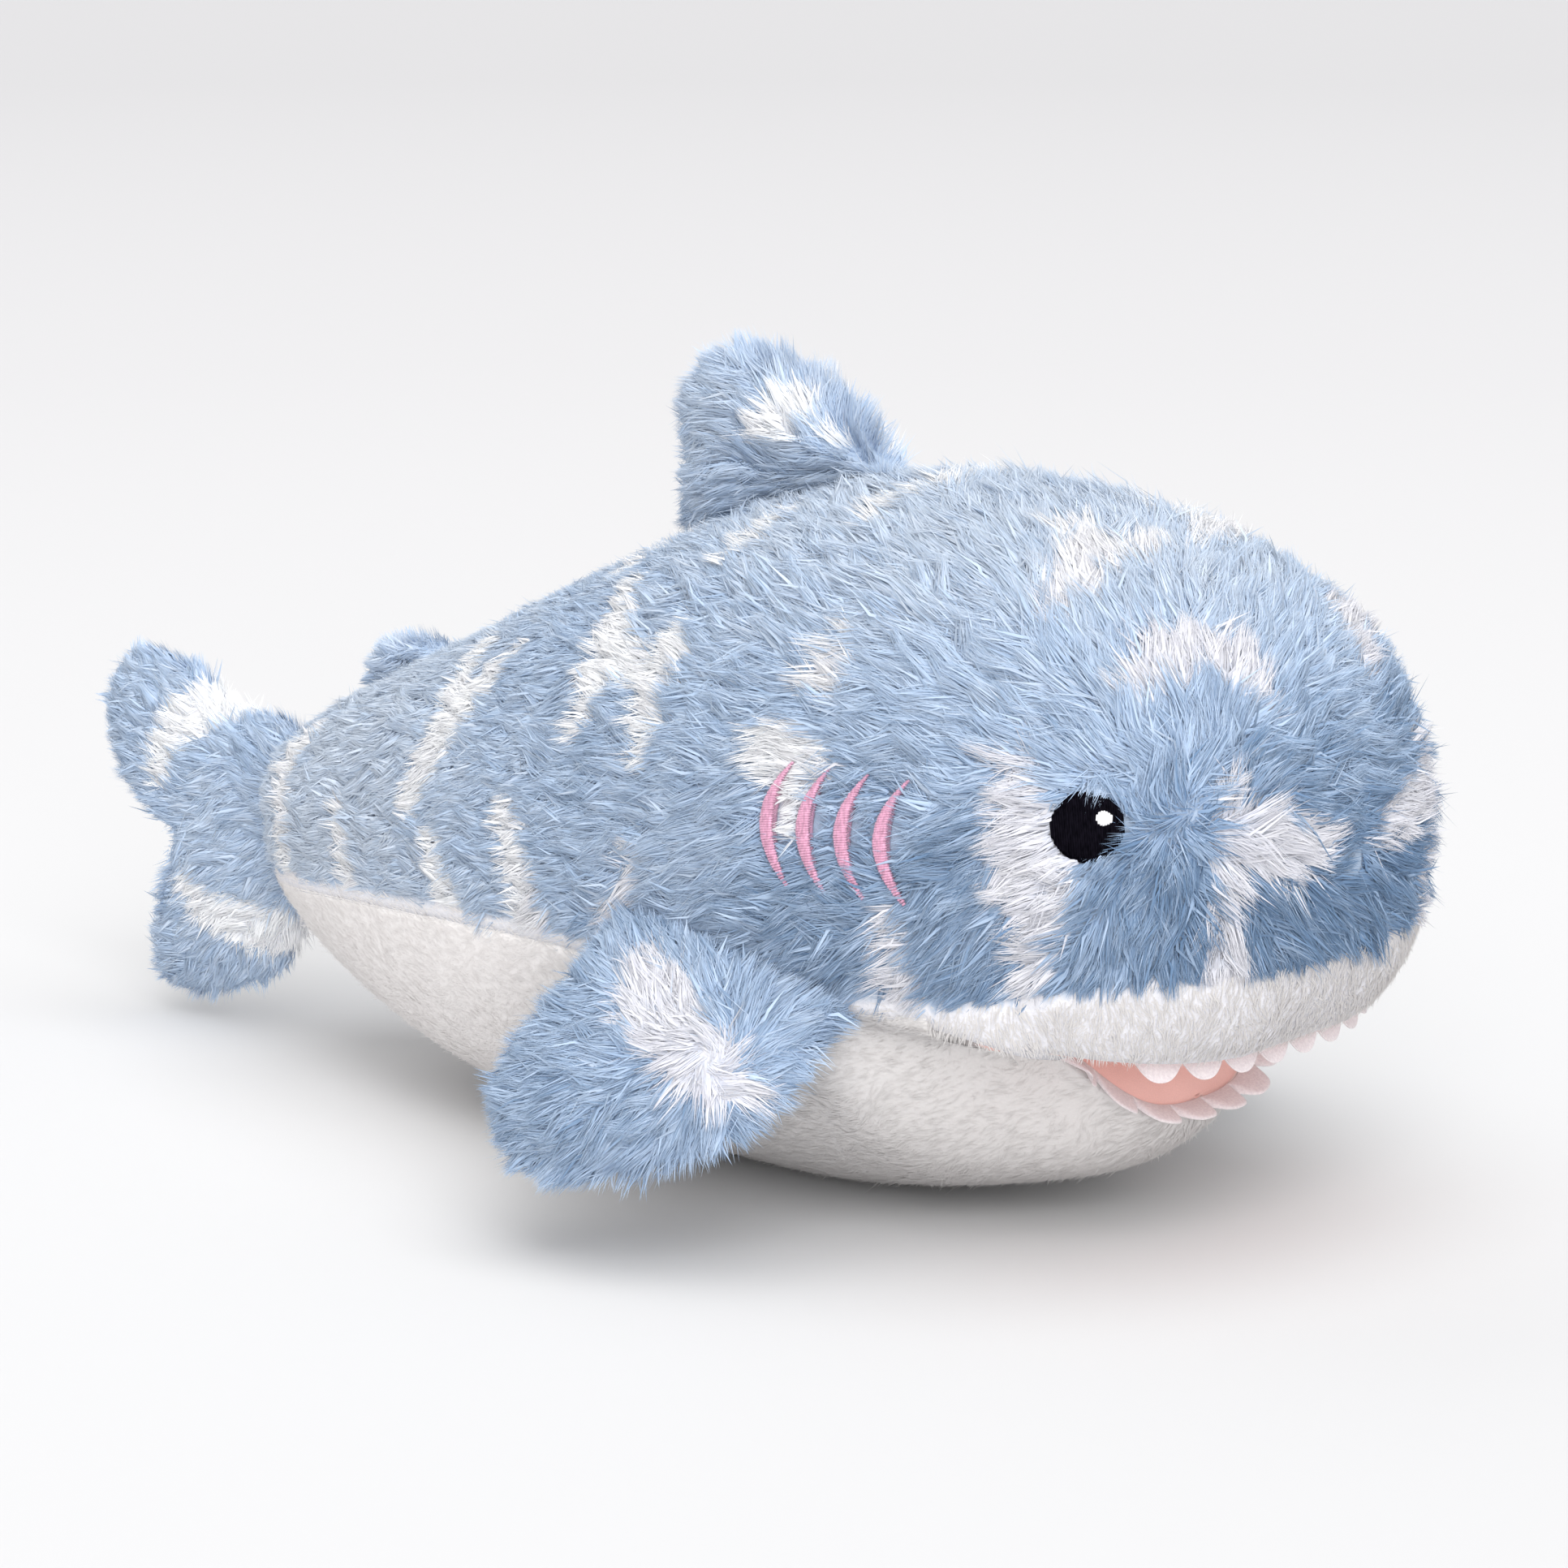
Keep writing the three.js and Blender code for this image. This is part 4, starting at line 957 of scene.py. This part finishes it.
def root_depth(length):
    """How far under the outer face of the pile its roots lie."""
    return 0.19 * length + 0.2


def gill_line(share, number):
    """Middle line and half width of a gill stripe at shares of its half height: the line is a parabola that
    leans, and the half width falls off as a parabola."""
    inside = np.clip(1 - share**2, 0, 1)
    middle = GILL_X + number * GILL_PITCH - GILL_BOW * inside - GILL_LEAN * np.clip(share, -1, 1) / 2
    return middle, (GILL_TIP + (GILL_WIDTH - GILL_TIP) * inside) / 2


def from_gills(right):
    """Distance along the flank outside the nearest gill stripe, below 0 on one."""
    share = (right[:, 2] - GILL_Z) / (GILL_LENGTH / 2)
    past = np.maximum(np.abs(share) - 1, 0) * GILL_LENGTH / 2
    nearest = np.full(len(right), 1e3)
    for number in range(GILLS):
        middle, half = gill_line(share, number)
        beside = np.abs(right[:, 0] - middle) - half
        gap = np.hypot(beside, past)
        nearest = np.minimum(nearest, np.where((beside < 0) & (past == 0), -gap, gap))
    return nearest


def over_stitching(points, flow, length):
    """True for strands that would lie over a gill stripe or an eye. The pile may just lap their edges, and a
    little more of it laps the low front of the eye."""
    eye, forward, rise, _ = flank(EYE_X, EYE_Z, -1)
    over = np.zeros(len(points), bool)
    for share in (0.0, 0.33, 0.66, 0.97):
        place = to_right(points + flow * (share * length)[:, None])
        from_eye = place - eye
        lap = np.where((from_eye @ rise < -2) & (from_eye @ forward > 1), 4.6, 1.6)
        over |= np.linalg.norm(from_eye, axis=1) < EYE_CLEARING - lap
        over |= from_gills(place) < (0.5 if share == 0 else -0.7)
    return over


def zone_of(points):
    """The zone of the skin at points: a side above the seam, the open mouth, and below the seam the lip or the
    belly, parted by a plane from the corner of the mouth."""
    x, y, z = np.moveaxis(points, -1, 0)
    roof, jaw = palate_z(x), jaw_z(x)
    parting = MOUTH_CORNER_Z - PARTING_SLOPE * (x - MOUTH_CORNER_X)
    ahead = x > MOUTH_CORNER_X
    open_mouth = ahead & (z < roof + 0.5) & (z > jaw) & (np.abs(y) < MOUTH_HALF)
    white = np.where(ahead & (z > parting), LIP, BELLY)
    side = np.where(y < 0, RIGHT, LEFT)
    return np.where(z >= seam_z(x), side, np.where(open_mouth, OPEN_MOUTH, white))


class PLUSH_OT_pads(bpy.types.Operator):
    """Stuffed pads under the pile of the body, above and below the mouth"""

    bl_idname = "plush.pads"
    bl_label = "Body pads"

    def execute(self, context):
        """Rings of the skin, drawn in by the depth of the pile and shut flat at the seam level."""
        deep, shallow = root_depth(sizes()["pile_head"]) + 0.4, 0.5
        step = np.linspace(-1, 1, 97)
        for name, upper, cloth, slot, nodes in (
            ("upper_body_pad", True, "blue_backing", "blue_pile", ["body_stuffing"]),
            ("belly_pad", False, "white_backing", "white_pile", []),
        ):
            inset = deep if upper else shallow
            at = body_places(inset)
            roof, floor = palate_z(at) + 2.5, jaw_z(at) - 2.5
            level = np.where(at < MOUTH_CORNER_X, seam_z(at) - 3, roof if upper else floor)
            centre, _, _, down, square = section(at, inset)
            if not upper:
                held = (at < MOUTH_CORNER_X) | (floor > centre - down + 2)
                at, level, centre, down, square = (v[held] for v in (at, level, centre, down, square))
            share = np.clip((centre - level) / np.maximum(down, 1e-3), 0.02, 0.98)
            edge = np.arccos(-share ** (square / 2))[:, None]
            angle = edge * step if upper else math.pi + (math.pi - edge) * step
            arc = body_point(at[:, None], angle, inset)
            if upper:
                blue = smooth(arc[..., 2] - seam_z(arc[..., 0]), -1, 5)
                arc = body_point(at[:, None], angle, shallow + (deep - shallow) * blue)
            across = np.linspace(arc[:, -1], arc[:, 0], 14, axis=1)[:, 1:-1]
            points, triangles = closed_rings(np.concatenate([arc, across], 1))
            pad = new_mesh(name, points, triangles, finish(cloth))
            if upper:
                below = points[:, 2] < seam_z(points[:, 0])
                mark_white_or_painted_light(pad, marking_share(points, MARKINGS["side"], SIDE_SEED) | below)
            else:
                # The belly pad's second tone is its lighter rear; the front is painted darker, as shade under the jaw.
                mark_white_or_painted_light(pad, belly_clear_of_painted_shade(points))
            put_on(pad, "body", slot, *nodes)
        return {"FINISHED"}


class PLUSH_OT_body_pile(bpy.types.Operator):
    """Blue and white pile of the sides, the belly and the lip band"""

    bl_idname = "plush.body_pile"
    bl_label = "Body pile"

    def execute(self, context):
        """Strands scattered evenly over the skin, shared out by panel and by length of the body."""
        size = sizes()
        rng = np.random.default_rng(20)
        at = body_places(0.0)[1:-1]
        angle = 2 * math.pi * np.arange(300) / 300
        skin = body_point(at[:, None], angle[None, :])
        spine = np.stack([np.clip(at, TAIL_X + 30, NOSE_X - 70), 0 * at, section(at, 0.0)[0]], -1)[:, None]
        points, normals = scatter(
            skin, grid_normals(skin, spine), lambda middle: ZONE_STRANDS[zone_of(middle)], size["density"], rng)
        x, y, z = points.T
        zone, over_seam = zone_of(points), z - seam_z(x)
        side, lip = zone < BELLY, zone == LIP

        # Lip strands end at the mouth's edge, and side strands end just past the seam.
        length = np.where(side, pile_length(points), size["pile_belly"])
        length = np.where(lip, np.clip(z - palate_z(x) + 1.5, 1.8, length), length)
        hang = np.where(lip[:, None], (0.15, 0, -1.0), (-1.0, 0, 0.05))
        hang = unit(hang - dot(hang, normals) * normals)
        flow = np.where(side[:, None], brushed(points, normals, BRUSHED_FROM), hang)
        room = (over_seam + 2.2) / np.maximum(-flow[:, 2], 0.05)
        length = np.where(side, np.minimum(length, np.maximum(room, 3.5)), length)

        # Roots sink into the seams. Strands over the stitching are cut short or left out, and none grow in the mouth.
        snout_seam = np.where((z > 90) & (x > 60), np.abs(y), 20)
        groove = np.where(side, 1.2, 0.5) * np.exp(-(np.minimum(np.abs(over_seam), snout_seam) / 2.5) ** 2)
        roots = points - normals * (np.where(side, root_depth(length), 0.45) + groove)[:, None]
        length = np.where(side & over_stitching(points, flow, length), 0.5 * length, length)
        keep = (zone != OPEN_MOUTH) & ~(side & over_stitching(points, flow, length))
        jaw = (zone == BELLY) & (x > MOUTH_CORNER_X) & (np.abs(y) < MOUTH_HALF)
        keep &= ~(jaw & (roots[:, 2] > jaw_z(roots[:, 0]) - 1.0))
        keep &= ~(lip & (roots[:, 2] < palate_z(roots[:, 0]) + 0.5))

        white = marking_share(points + flow * (0.3 * length)[:, None], MARKINGS["side"], SIDE_SEED)
        # Blue tones carry painted shade low on the head and painted top light on the back.
        of_sides = tones(white, blue_tone_with_painted_light(points), points, rng)
        # The lip and the front of the belly are painted darker, as shade under the head and the jaw; the rear of the
        # belly lighter.
        whites_with_painted_shade = (0.15 + 0.62 * belly_clear_of_painted_shade(points) * (zone == BELLY)
                     + 0.06 * ripple(points, 7.0, 33) + 0.04 * rng.normal(size=len(points)))
        tone = np.where(side, of_sides, whites_with_painted_shade)
        ahead, behind = np.quantile(x[keep & side], (2 / 3, 1 / 3))
        third = np.where(x > ahead, 0, np.where(x > behind, 1, 2))
        for number, (label, node, parts) in PANELS.items():
            blue = number < BELLY
            look, slot = ("blue_and_white_pile", "blue_pile") if blue else ("white_pile", "white_pile")
            for part, ending in enumerate(parts):
                own = keep & (zone == number) & ((third == part) | (len(parts) == 1))
                piece = pile(
                    label + ending, roots[own], normals[own], flow[own], length[own], size["fibre_width"],
                    tone[own], finish(look), rng, **({} if blue else SHORT_STYLE))
                put_on(piece, "body", slot, node)
        return {"FINISHED"}


def fin_skin(fin, inset, edge):
    """A stuffed pillow over a closed outline: a smooth curve through the outline's points is drawn to the middle by
    the sine of a half turn to the power 0.8 while the thickness follows its cosine; the sewn root is carried on
    into the body."""
    wide, tall, thick = fin["size"]
    knots = np.array(fin["outline"]) * (wide, tall)
    before, after, ahead = (np.roll(knots, k, axis=0) for k in (1, -1, -2))
    t = np.linspace(0, 1, 24, endpoint=False)[None, :, None]
    k, b, a, n = (v[:, None] for v in (knots, before, after, ahead))
    rim = 0.5 * (2 * k + (a - b) * t + (2 * b - 5 * k + 4 * a - n) * t**2 + (3 * k - b - 3 * a + n) * t**3)
    total, at = along_line(np.vstack([rim.reshape(-1, 2), rim[0, 0]]))
    rim = at(np.linspace(0, total, 160, endpoint=False))
    centre = (rim.min(0) + rim.max(0)) / 2
    rim = rim - edge * unit(rim - centre)
    turn = np.linspace(0.02, math.pi - 0.02, 70)[:, None, None]
    flat = centre + np.sin(turn) ** 0.8 * (rim - centre)
    flat[..., 1] -= fin["drop"] * (1 - smooth(flat[..., 1], 0, 0.3 * tall))
    off = (thick / 2 - inset) * np.cos(turn[..., 0]) * np.ones(len(rim))
    chord, span = np.array(fin["chord"]), np.array(fin["span"])
    return (np.array(fin["at"]) + flat[..., :1] * chord + flat[..., 1:] * span
            + off[..., None] * np.cross(chord, span))


class PLUSH_OT_fins(bpy.types.Operator):
    """Stuffed fins and their pile"""

    bl_idname = "plush.fins"
    bl_label = "Fins"

    def execute(self, context):
        """A pad and two halves of pile for each fin, carried from the body at the root to the fin."""
        size = sizes()
        for number, (name, shape) in enumerate(FINS.items()):
            fin = FIN_COMMON | shape
            rng = np.random.default_rng(60 + number)
            length = size["pile_fin"] * fin["trim"]
            depth = root_depth(length)
            edge = fin.get("rim", 0.5 * length)
            at, span = np.array(fin["at"]), np.array(fin["span"])
            bend = {"start": tuple((at - 3 * span) * MM), "end": tuple((at + fin["bend"] * span) * MM)}
            points, triangles = closed_rings(fin_skin(fin, depth + 0.3, edge + depth + 0.3))
            pad = new_mesh(f"{name}_pad", points, triangles, finish("blue_backing"))
            mark_white_or_painted_light(pad, marking_share(points, MARKINGS[name], FIN_SEED))
            put_on(pad, name, "blue_pile", f"{name}_stuffing", bend=bend)

            skin = fin_skin(fin, 0.0, edge)
            normals = grid_normals(skin, skin.mean((0, 1)))
            points, normals = scatter(
                skin, normals, lambda middle: np.ones(middle.shape[:2]), size["density"] * FIN_STRANDS, rng)
            flow = brushed(points, normals, fin["brushed_from"], fin["whorl"])
            roots = points - normals * depth
            white = marking_share(points + flow * 0.3 * length, MARKINGS[name], FIN_SEED)
            tone = tones(white, fin["blue"], points, rng)
            across = np.cross(fin["chord"], fin["span"])
            half = (points - at) @ across > 0
            at_rim, all_over = fin["rise"]
            rise = at_rim * (1 - smooth(np.abs(normals @ across), 0.15, 0.75)) + all_over
            for label, own in zip(fin["halves"], (half, ~half)):
                piece = pile(
                    f"{name}_pile_{label}", roots[own], normals[own], flow[own], length, size["fibre_width"],
                    tone[own], finish("blue_and_white_pile"), rng, upright=rise[own])
                put_on(piece, name, "blue_pile", f"{name}_{label}", bend=bend)
        return {"FINISHED"}


class PLUSH_OT_mouth(bpy.types.Operator):
    """Smooth pink lining of the palate and the jaw"""

    bl_idname = "plush.mouth"
    bl_label = "Mouth lining"

    def execute(self, context):
        """Sheets over each mouth plane, as wide as the lip there, crowned by the stuffing behind them."""
        u = np.linspace(-1, 1, 61)[None, :]
        v = np.linspace(0, 1, 41)[:, None]
        start = MOUTH_CORNER_X - 3.0
        tried = np.linspace(start, NOSE_X, 800)
        for label, height, side in (("upper", palate_z, -1), ("lower", jaw_z, 1)):
            reach = tried[half_width(tried, height(tried), LINING_INSET) > 3.0].max()
            x = start + (reach - start) * np.sin(v * math.pi / 2)
            wide = np.minimum(half_width(x, height(x), LINING_INSET), MOUTH_HALF)
            swell = LINING_SWELL[label] * (1 - u**2) * smooth(v, 0, 0.45) * (1 - smooth(v, 0.55, 1.0) * 0.75)
            fold = 0.25 * np.sin(v * 19 + 3 * u) * (1 - u**2) * smooth(v, 0.05, 0.3)
            z = height(x) + side * 0.4 + swell + fold
            top = np.stack(np.broadcast_arrays(x, wide * u, z), -1)
            points, triangles = slab(top, top - np.array([0, 0, side * LINING]))
            piece = new_mesh(f"{label}_mouth_lining_cloth", points, triangles, finish("pink_lining"))
            put_on(piece, "body", "pink_lining", f"{label}_mouth_lining")
        return {"FINISHED"}


def lip_line(height, inset):
    """A lip as points at even y from right to left: at each the furthest x whose half width is wider, found by
    halving the span that holds it."""
    y = np.linspace(-(MOUTH_HALF - inset), MOUTH_HALF - inset, 201)
    near, far = np.full_like(y, MOUTH_CORNER_X), np.full_like(y, NOSE_X - inset)
    for _ in range(40):
        x = (near + far) / 2
        inside = half_width(x, height(x), inset) > np.abs(y)
        near, far = np.where(inside, x, near), np.where(inside, far, x)
    return np.stack([near, y, height(near)], -1)


class PLUSH_OT_teeth(bpy.types.Operator):
    """Two scalloped strips of felt teeth"""

    bl_idname = "plush.teeth"
    bl_label = "Teeth"

    def execute(self, context):
        """A strip carried along each lip, its width a row of rounded scallops, curling a little at the tips."""
        t = np.linspace(0, 1, 11)[None, :, None]
        share = np.linspace(0, TEETH, TEETH * 18 + 1)
        down = np.array([0, 0, -1.0])
        for label, height in (("upper", lambda x: palate_z(x) - 0.3), ("lower", lambda x: jaw_z(x) + 0.6)):
            upper = label == "upper"
            length, inset, square = TOOTH_STRIPS[label]
            total, at = along_line(lip_line(height, inset))
            root = at(total / 2 + (share - TEETH / 2) * TOOTH_PITCH)
            tangent = unit(np.gradient(root, axis=0))
            out = unit(np.stack([tangent[:, 1], -tangent[:, 0], 0 * share], -1))
            reach = TOOTH_BAND + length * (1 - np.abs(2 * (share % 1) - 1) ** square)
            way = unit(down + 0.25 * out) if upper else unit(out + (0.08 + 0.5 * np.abs(out[:, 1:2])) * down)
            face = (-out if upper else 0 * out - down)[:, None]
            under = root[:, None] + way[:, None] * reach[:, None, None] * t
            under = under - face * (FELT_CURL * t**2)
            points, triangles = slab(under, under + face * (FELT * (1 - 0.45 * t**3)))
            piece = new_mesh(f"{label}_felt_teeth", points, triangles, finish("white_felt"))
            soft = piece.modifiers.new("soft edge", "SUBSURF")
            soft.levels = soft.render_levels = 1
            put_on(piece, "body", "white_felt", f"{label}_teeth")
        return {"FINISHED"}


def stitches(start, end, out, arch, radius):
    """Satin threads from start points to end points: tubes of six sides whose height over the cloth is an arch
    that is flat on top and dives at both ends."""
    t = np.linspace(0, 1, 11)[None, :, None]
    rise = arch[:, None, None] * (1 - np.abs(2 * t - 1) ** 5)
    path = start[:, None] + (end - start)[:, None] * t + out[:, None] * rise
    along = unit(end - start)
    across = unit(np.cross(out, along))[:, None] + 0 * path
    up = out[:, None] * 0.8 + 0 * path
    points, one = bundle(path, across, up, np.full(path.shape[:2], radius), 6, False)
    return points.reshape(-1, 3), repeated(points, one)


def stitched_disc(centre, forward, rise, out, radius, crown, pitch, tilt, seed):
    """A domed disc of upright satin threads: chords at an even pitch, their height a squared dome."""
    rng = np.random.default_rng(seed)
    c, s = math.cos(tilt), math.sin(tilt)
    step, run = c * forward + s * rise, c * rise - s * forward
    turn = np.linspace(0, 2 * math.pi, 49)[:-1]
    ring = np.array([0.985, 0.98, 0.9, 0.7, 0.4, 0.05])[:, None, None] * radius
    lift = np.array([-1.2, 0.0, 0.35, 0.7, 0.92, 1.0])[:, None, None]
    flat = centre + ring * (np.cos(turn)[:, None] * forward + np.sin(turn)[:, None] * rise)
    base = closed_rings(flat + np.where(lift < 0, lift, crown * 0.9 * lift) * out)
    u = np.arange(-radius + pitch / 2, radius, pitch)
    half = np.sqrt(np.maximum(radius**2 - u**2, 0.04)) + rng.uniform(-0.1, 0.22, len(u))
    middle = centre + u[:, None] * step + out * 0.1
    arch = crown * np.sqrt(np.maximum(1 - (u / radius) ** 2, 0.02)) + rng.uniform(0, 0.1, len(u))
    turned = np.broadcast_to(out, middle.shape)
    sewn = stitches(middle - half[:, None] * run, middle + half[:, None] * run, turned, arch, pitch * THREAD_RADIUS)
    return joined(base, sewn)


class PLUSH_OT_eyes(bpy.types.Operator):
    """Embroidered black eyes with white glints"""

    bl_idname = "plush.eyes"
    bl_label = "Eyes"

    def execute(self, context):
        """A domed disc of satin stitch on each flank, and a small one on it towards the front and the top."""
        pitch = sizes()["thread"]
        for label, side in SIDES:
            centre, forward, rise, out = flank(EYE_X, EYE_Z, side, -EYE_SINK)
            glint = centre + GLINT_OFFSET * (0.8 * forward + 0.6 * rise) + GLINT_LIFT * out
            for name, node, thread, place, radius, crown, tilt, seed in (
                ("eye", "eye", "black_thread", centre, EYE_RADIUS, EYE_CROWN, 0.25, 70),
                ("glint", "eye_glint", "white_thread", glint, GLINT_RADIUS, GLINT_CROWN, 0.1, 71),
            ):
                points, triangles = stitched_disc(place, forward, rise, out, radius, crown, pitch, tilt, seed)
                piece = new_mesh(f"{label}_{name}_stitching", points, triangles, finish(thread))
                put_on(piece, "body", thread, f"{label}_{node}")
        return {"FINISHED"}


class PLUSH_OT_gills(bpy.types.Operator):
    """Satin-stitched pink gill stripes"""

    bl_idname = "plush.gills"
    bl_label = "Gills"

    def execute(self, context):
        """Threads laid across each crescent, from its back edge to its front edge, at an even pitch."""
        pitch = sizes()["thread"]
        rng = np.random.default_rng(80)
        count = int(GILL_LENGTH / pitch)
        share = np.linspace(-1, 1, count)
        z = GILL_Z + share * GILL_LENGTH / 2
        arch = 0.7 + 0.75 * (1 - share**2)
        for label, side in SIDES:
            for number in range(GILLS):
                middle, half = gill_line(share, number)
                slant = 0.5 * rng.uniform(0.6, 1.0, count)
                back = flank(middle - half - rng.uniform(0, 0.2, count), z - slant, side, -1.2)[0]
                front = flank(middle + half + rng.uniform(0, 0.2, count), z + slant, side, -1.2)[0]
                out = flank(middle, z, side)[3]
                sewn = stitches(back, front, out, arch, pitch * THREAD_RADIUS)
                foot = []
                for level, tuck in ((-2.4, 0.2), (-0.75, 0.45)):
                    rear = flank(middle - half + tuck, z, side, level)[0]
                    fore = flank(middle + half - tuck, z, side, level)[0]
                    foot.append(np.stack([rear, (rear + fore) / 2, fore], 1))
                points, triangles = joined(slab(foot[1], foot[0]), sewn)
                name = f"{label}_gill_{number + 1}"
                piece = new_mesh(f"{name}_stitching", points, triangles, finish("pink_thread"))
                put_on(piece, "body", "pink_thread", name)
        return {"FINISHED"}


class PLUSH_OT_stage(bpy.types.Operator):
    """Pale floor, soft light and the camera"""

    bl_idname = "plush.stage"
    bl_label = "Stage"

    def execute(self, context):
        """A round floor in rings, four broad suns, an even sky and a long lens from the front right."""
        scene = context.scene
        radius = np.concatenate([[0.05], np.linspace(0.3, FLOOR_RADIUS, 24)])[:, None, None] / MM
        turn = np.linspace(0, 2 * math.pi, 97)[None, :-1, None]
        top = np.concatenate([radius * np.cos(turn), radius * np.sin(turn), 0 * radius * turn], -1)
        rings = np.concatenate([top, top[::-1] - np.array([0, 0, 20.0])])
        points, triangles = closed_rings(rings)
        new_mesh("floor", points, triangles, floor_finish("studio_floor"))

        scene.world = bpy.data.worlds.new("studio_sky")
        scene.world.use_nodes = True
        sky = scene.world.node_tree.nodes["Background"]
        settle(sky, {"Color": (1.0, 1.0, 1.0, 1), "Strength": SKY_STRENGTH})
        for label, (azimuth, height, power, spread) in LIGHTS.items():
            lamp = bpy.data.lights.new(label, "SUN")
            lamp.energy = power
            lamp.angle = math.radians(spread)
            held = bpy.data.objects.new(label, lamp)
            held.rotation_euler = (math.radians(90 - height), 0, math.radians(azimuth))
            scene.collection.objects.link(held)

        data = bpy.data.cameras.new("camera")
        data.sensor_width = SENSOR
        data.lens = FOCAL_PIXELS / PHOTO_SIDE * SENSOR
        data.shift_x = (PHOTO_SIDE / 2 - CENTRE_PIXEL[0]) / PHOTO_SIDE
        data.shift_y = (CENTRE_PIXEL[1] - PHOTO_SIDE / 2) / PHOTO_SIDE
        camera = bpy.data.objects.new("camera", data)
        a, e = math.radians(CAMERA_AZIMUTH), math.radians(CAMERA_ELEVATION)
        back = np.array([math.sin(a) * math.cos(e), -math.cos(a) * math.cos(e), math.sin(e)])
        camera.location = np.array(CAMERA_AIM) + CAMERA_DISTANCE * back
        camera.rotation_euler = (math.pi / 2 - e, 0, a)
        scene.collection.objects.link(camera)
        scene.camera = camera
        scene.view_settings.view_transform = "Standard"
        return {"FINISHED"}


OPERATORS = (
    PLUSH_OT_stage, PLUSH_OT_pads, PLUSH_OT_body_pile, PLUSH_OT_fins, PLUSH_OT_mouth, PLUSH_OT_teeth,
    PLUSH_OT_eyes, PLUSH_OT_gills,
)


class PLUSH_PT_panel(bpy.types.Panel):
    """Sizes, colours and the steps that dress the shark"""

    bl_idname = "PLUSH_PT_panel"
    bl_label = "Plush Shark"
    bl_space_type = "VIEW_3D"
    bl_region_type = "UI"
    bl_category = "Plush Shark"

    def draw(self, context):
        """Lists each size and colour, then each step."""
        for held in (context.scene.plush_shark_sizes, context.scene.plush_shark_colours):
            for name in type(held).__annotations__:
                self.layout.prop(held, name)
        for step in OPERATORS:
            self.layout.operator(step.bl_idname)


CLASSES = (PlushSharkSizes, PlushSharkColours, *OPERATORS, PLUSH_PT_panel)


def register():
    """Registers the classes and hangs the settings on the scene."""
    for item in CLASSES:
        bpy.utils.register_class(item)
    bpy.types.Scene.plush_shark_sizes = bpy.props.PointerProperty(type=PlushSharkSizes)
    bpy.types.Scene.plush_shark_colours = bpy.props.PointerProperty(type=PlushSharkColours)


def unregister():
    """Takes the settings and the classes away again."""
    del bpy.types.Scene.plush_shark_sizes
    del bpy.types.Scene.plush_shark_colours
    for item in reversed(CLASSES):
        bpy.utils.unregister_class(item)


def main():
    """Dresses the shark step by step."""
    register()
    for step in OPERATORS:
        group, name = step.bl_idname.split(".")
        getattr(getattr(bpy.ops, group), name)()
    bpy.context.view_layer.update()


if __name__ == "__main__":
    main()
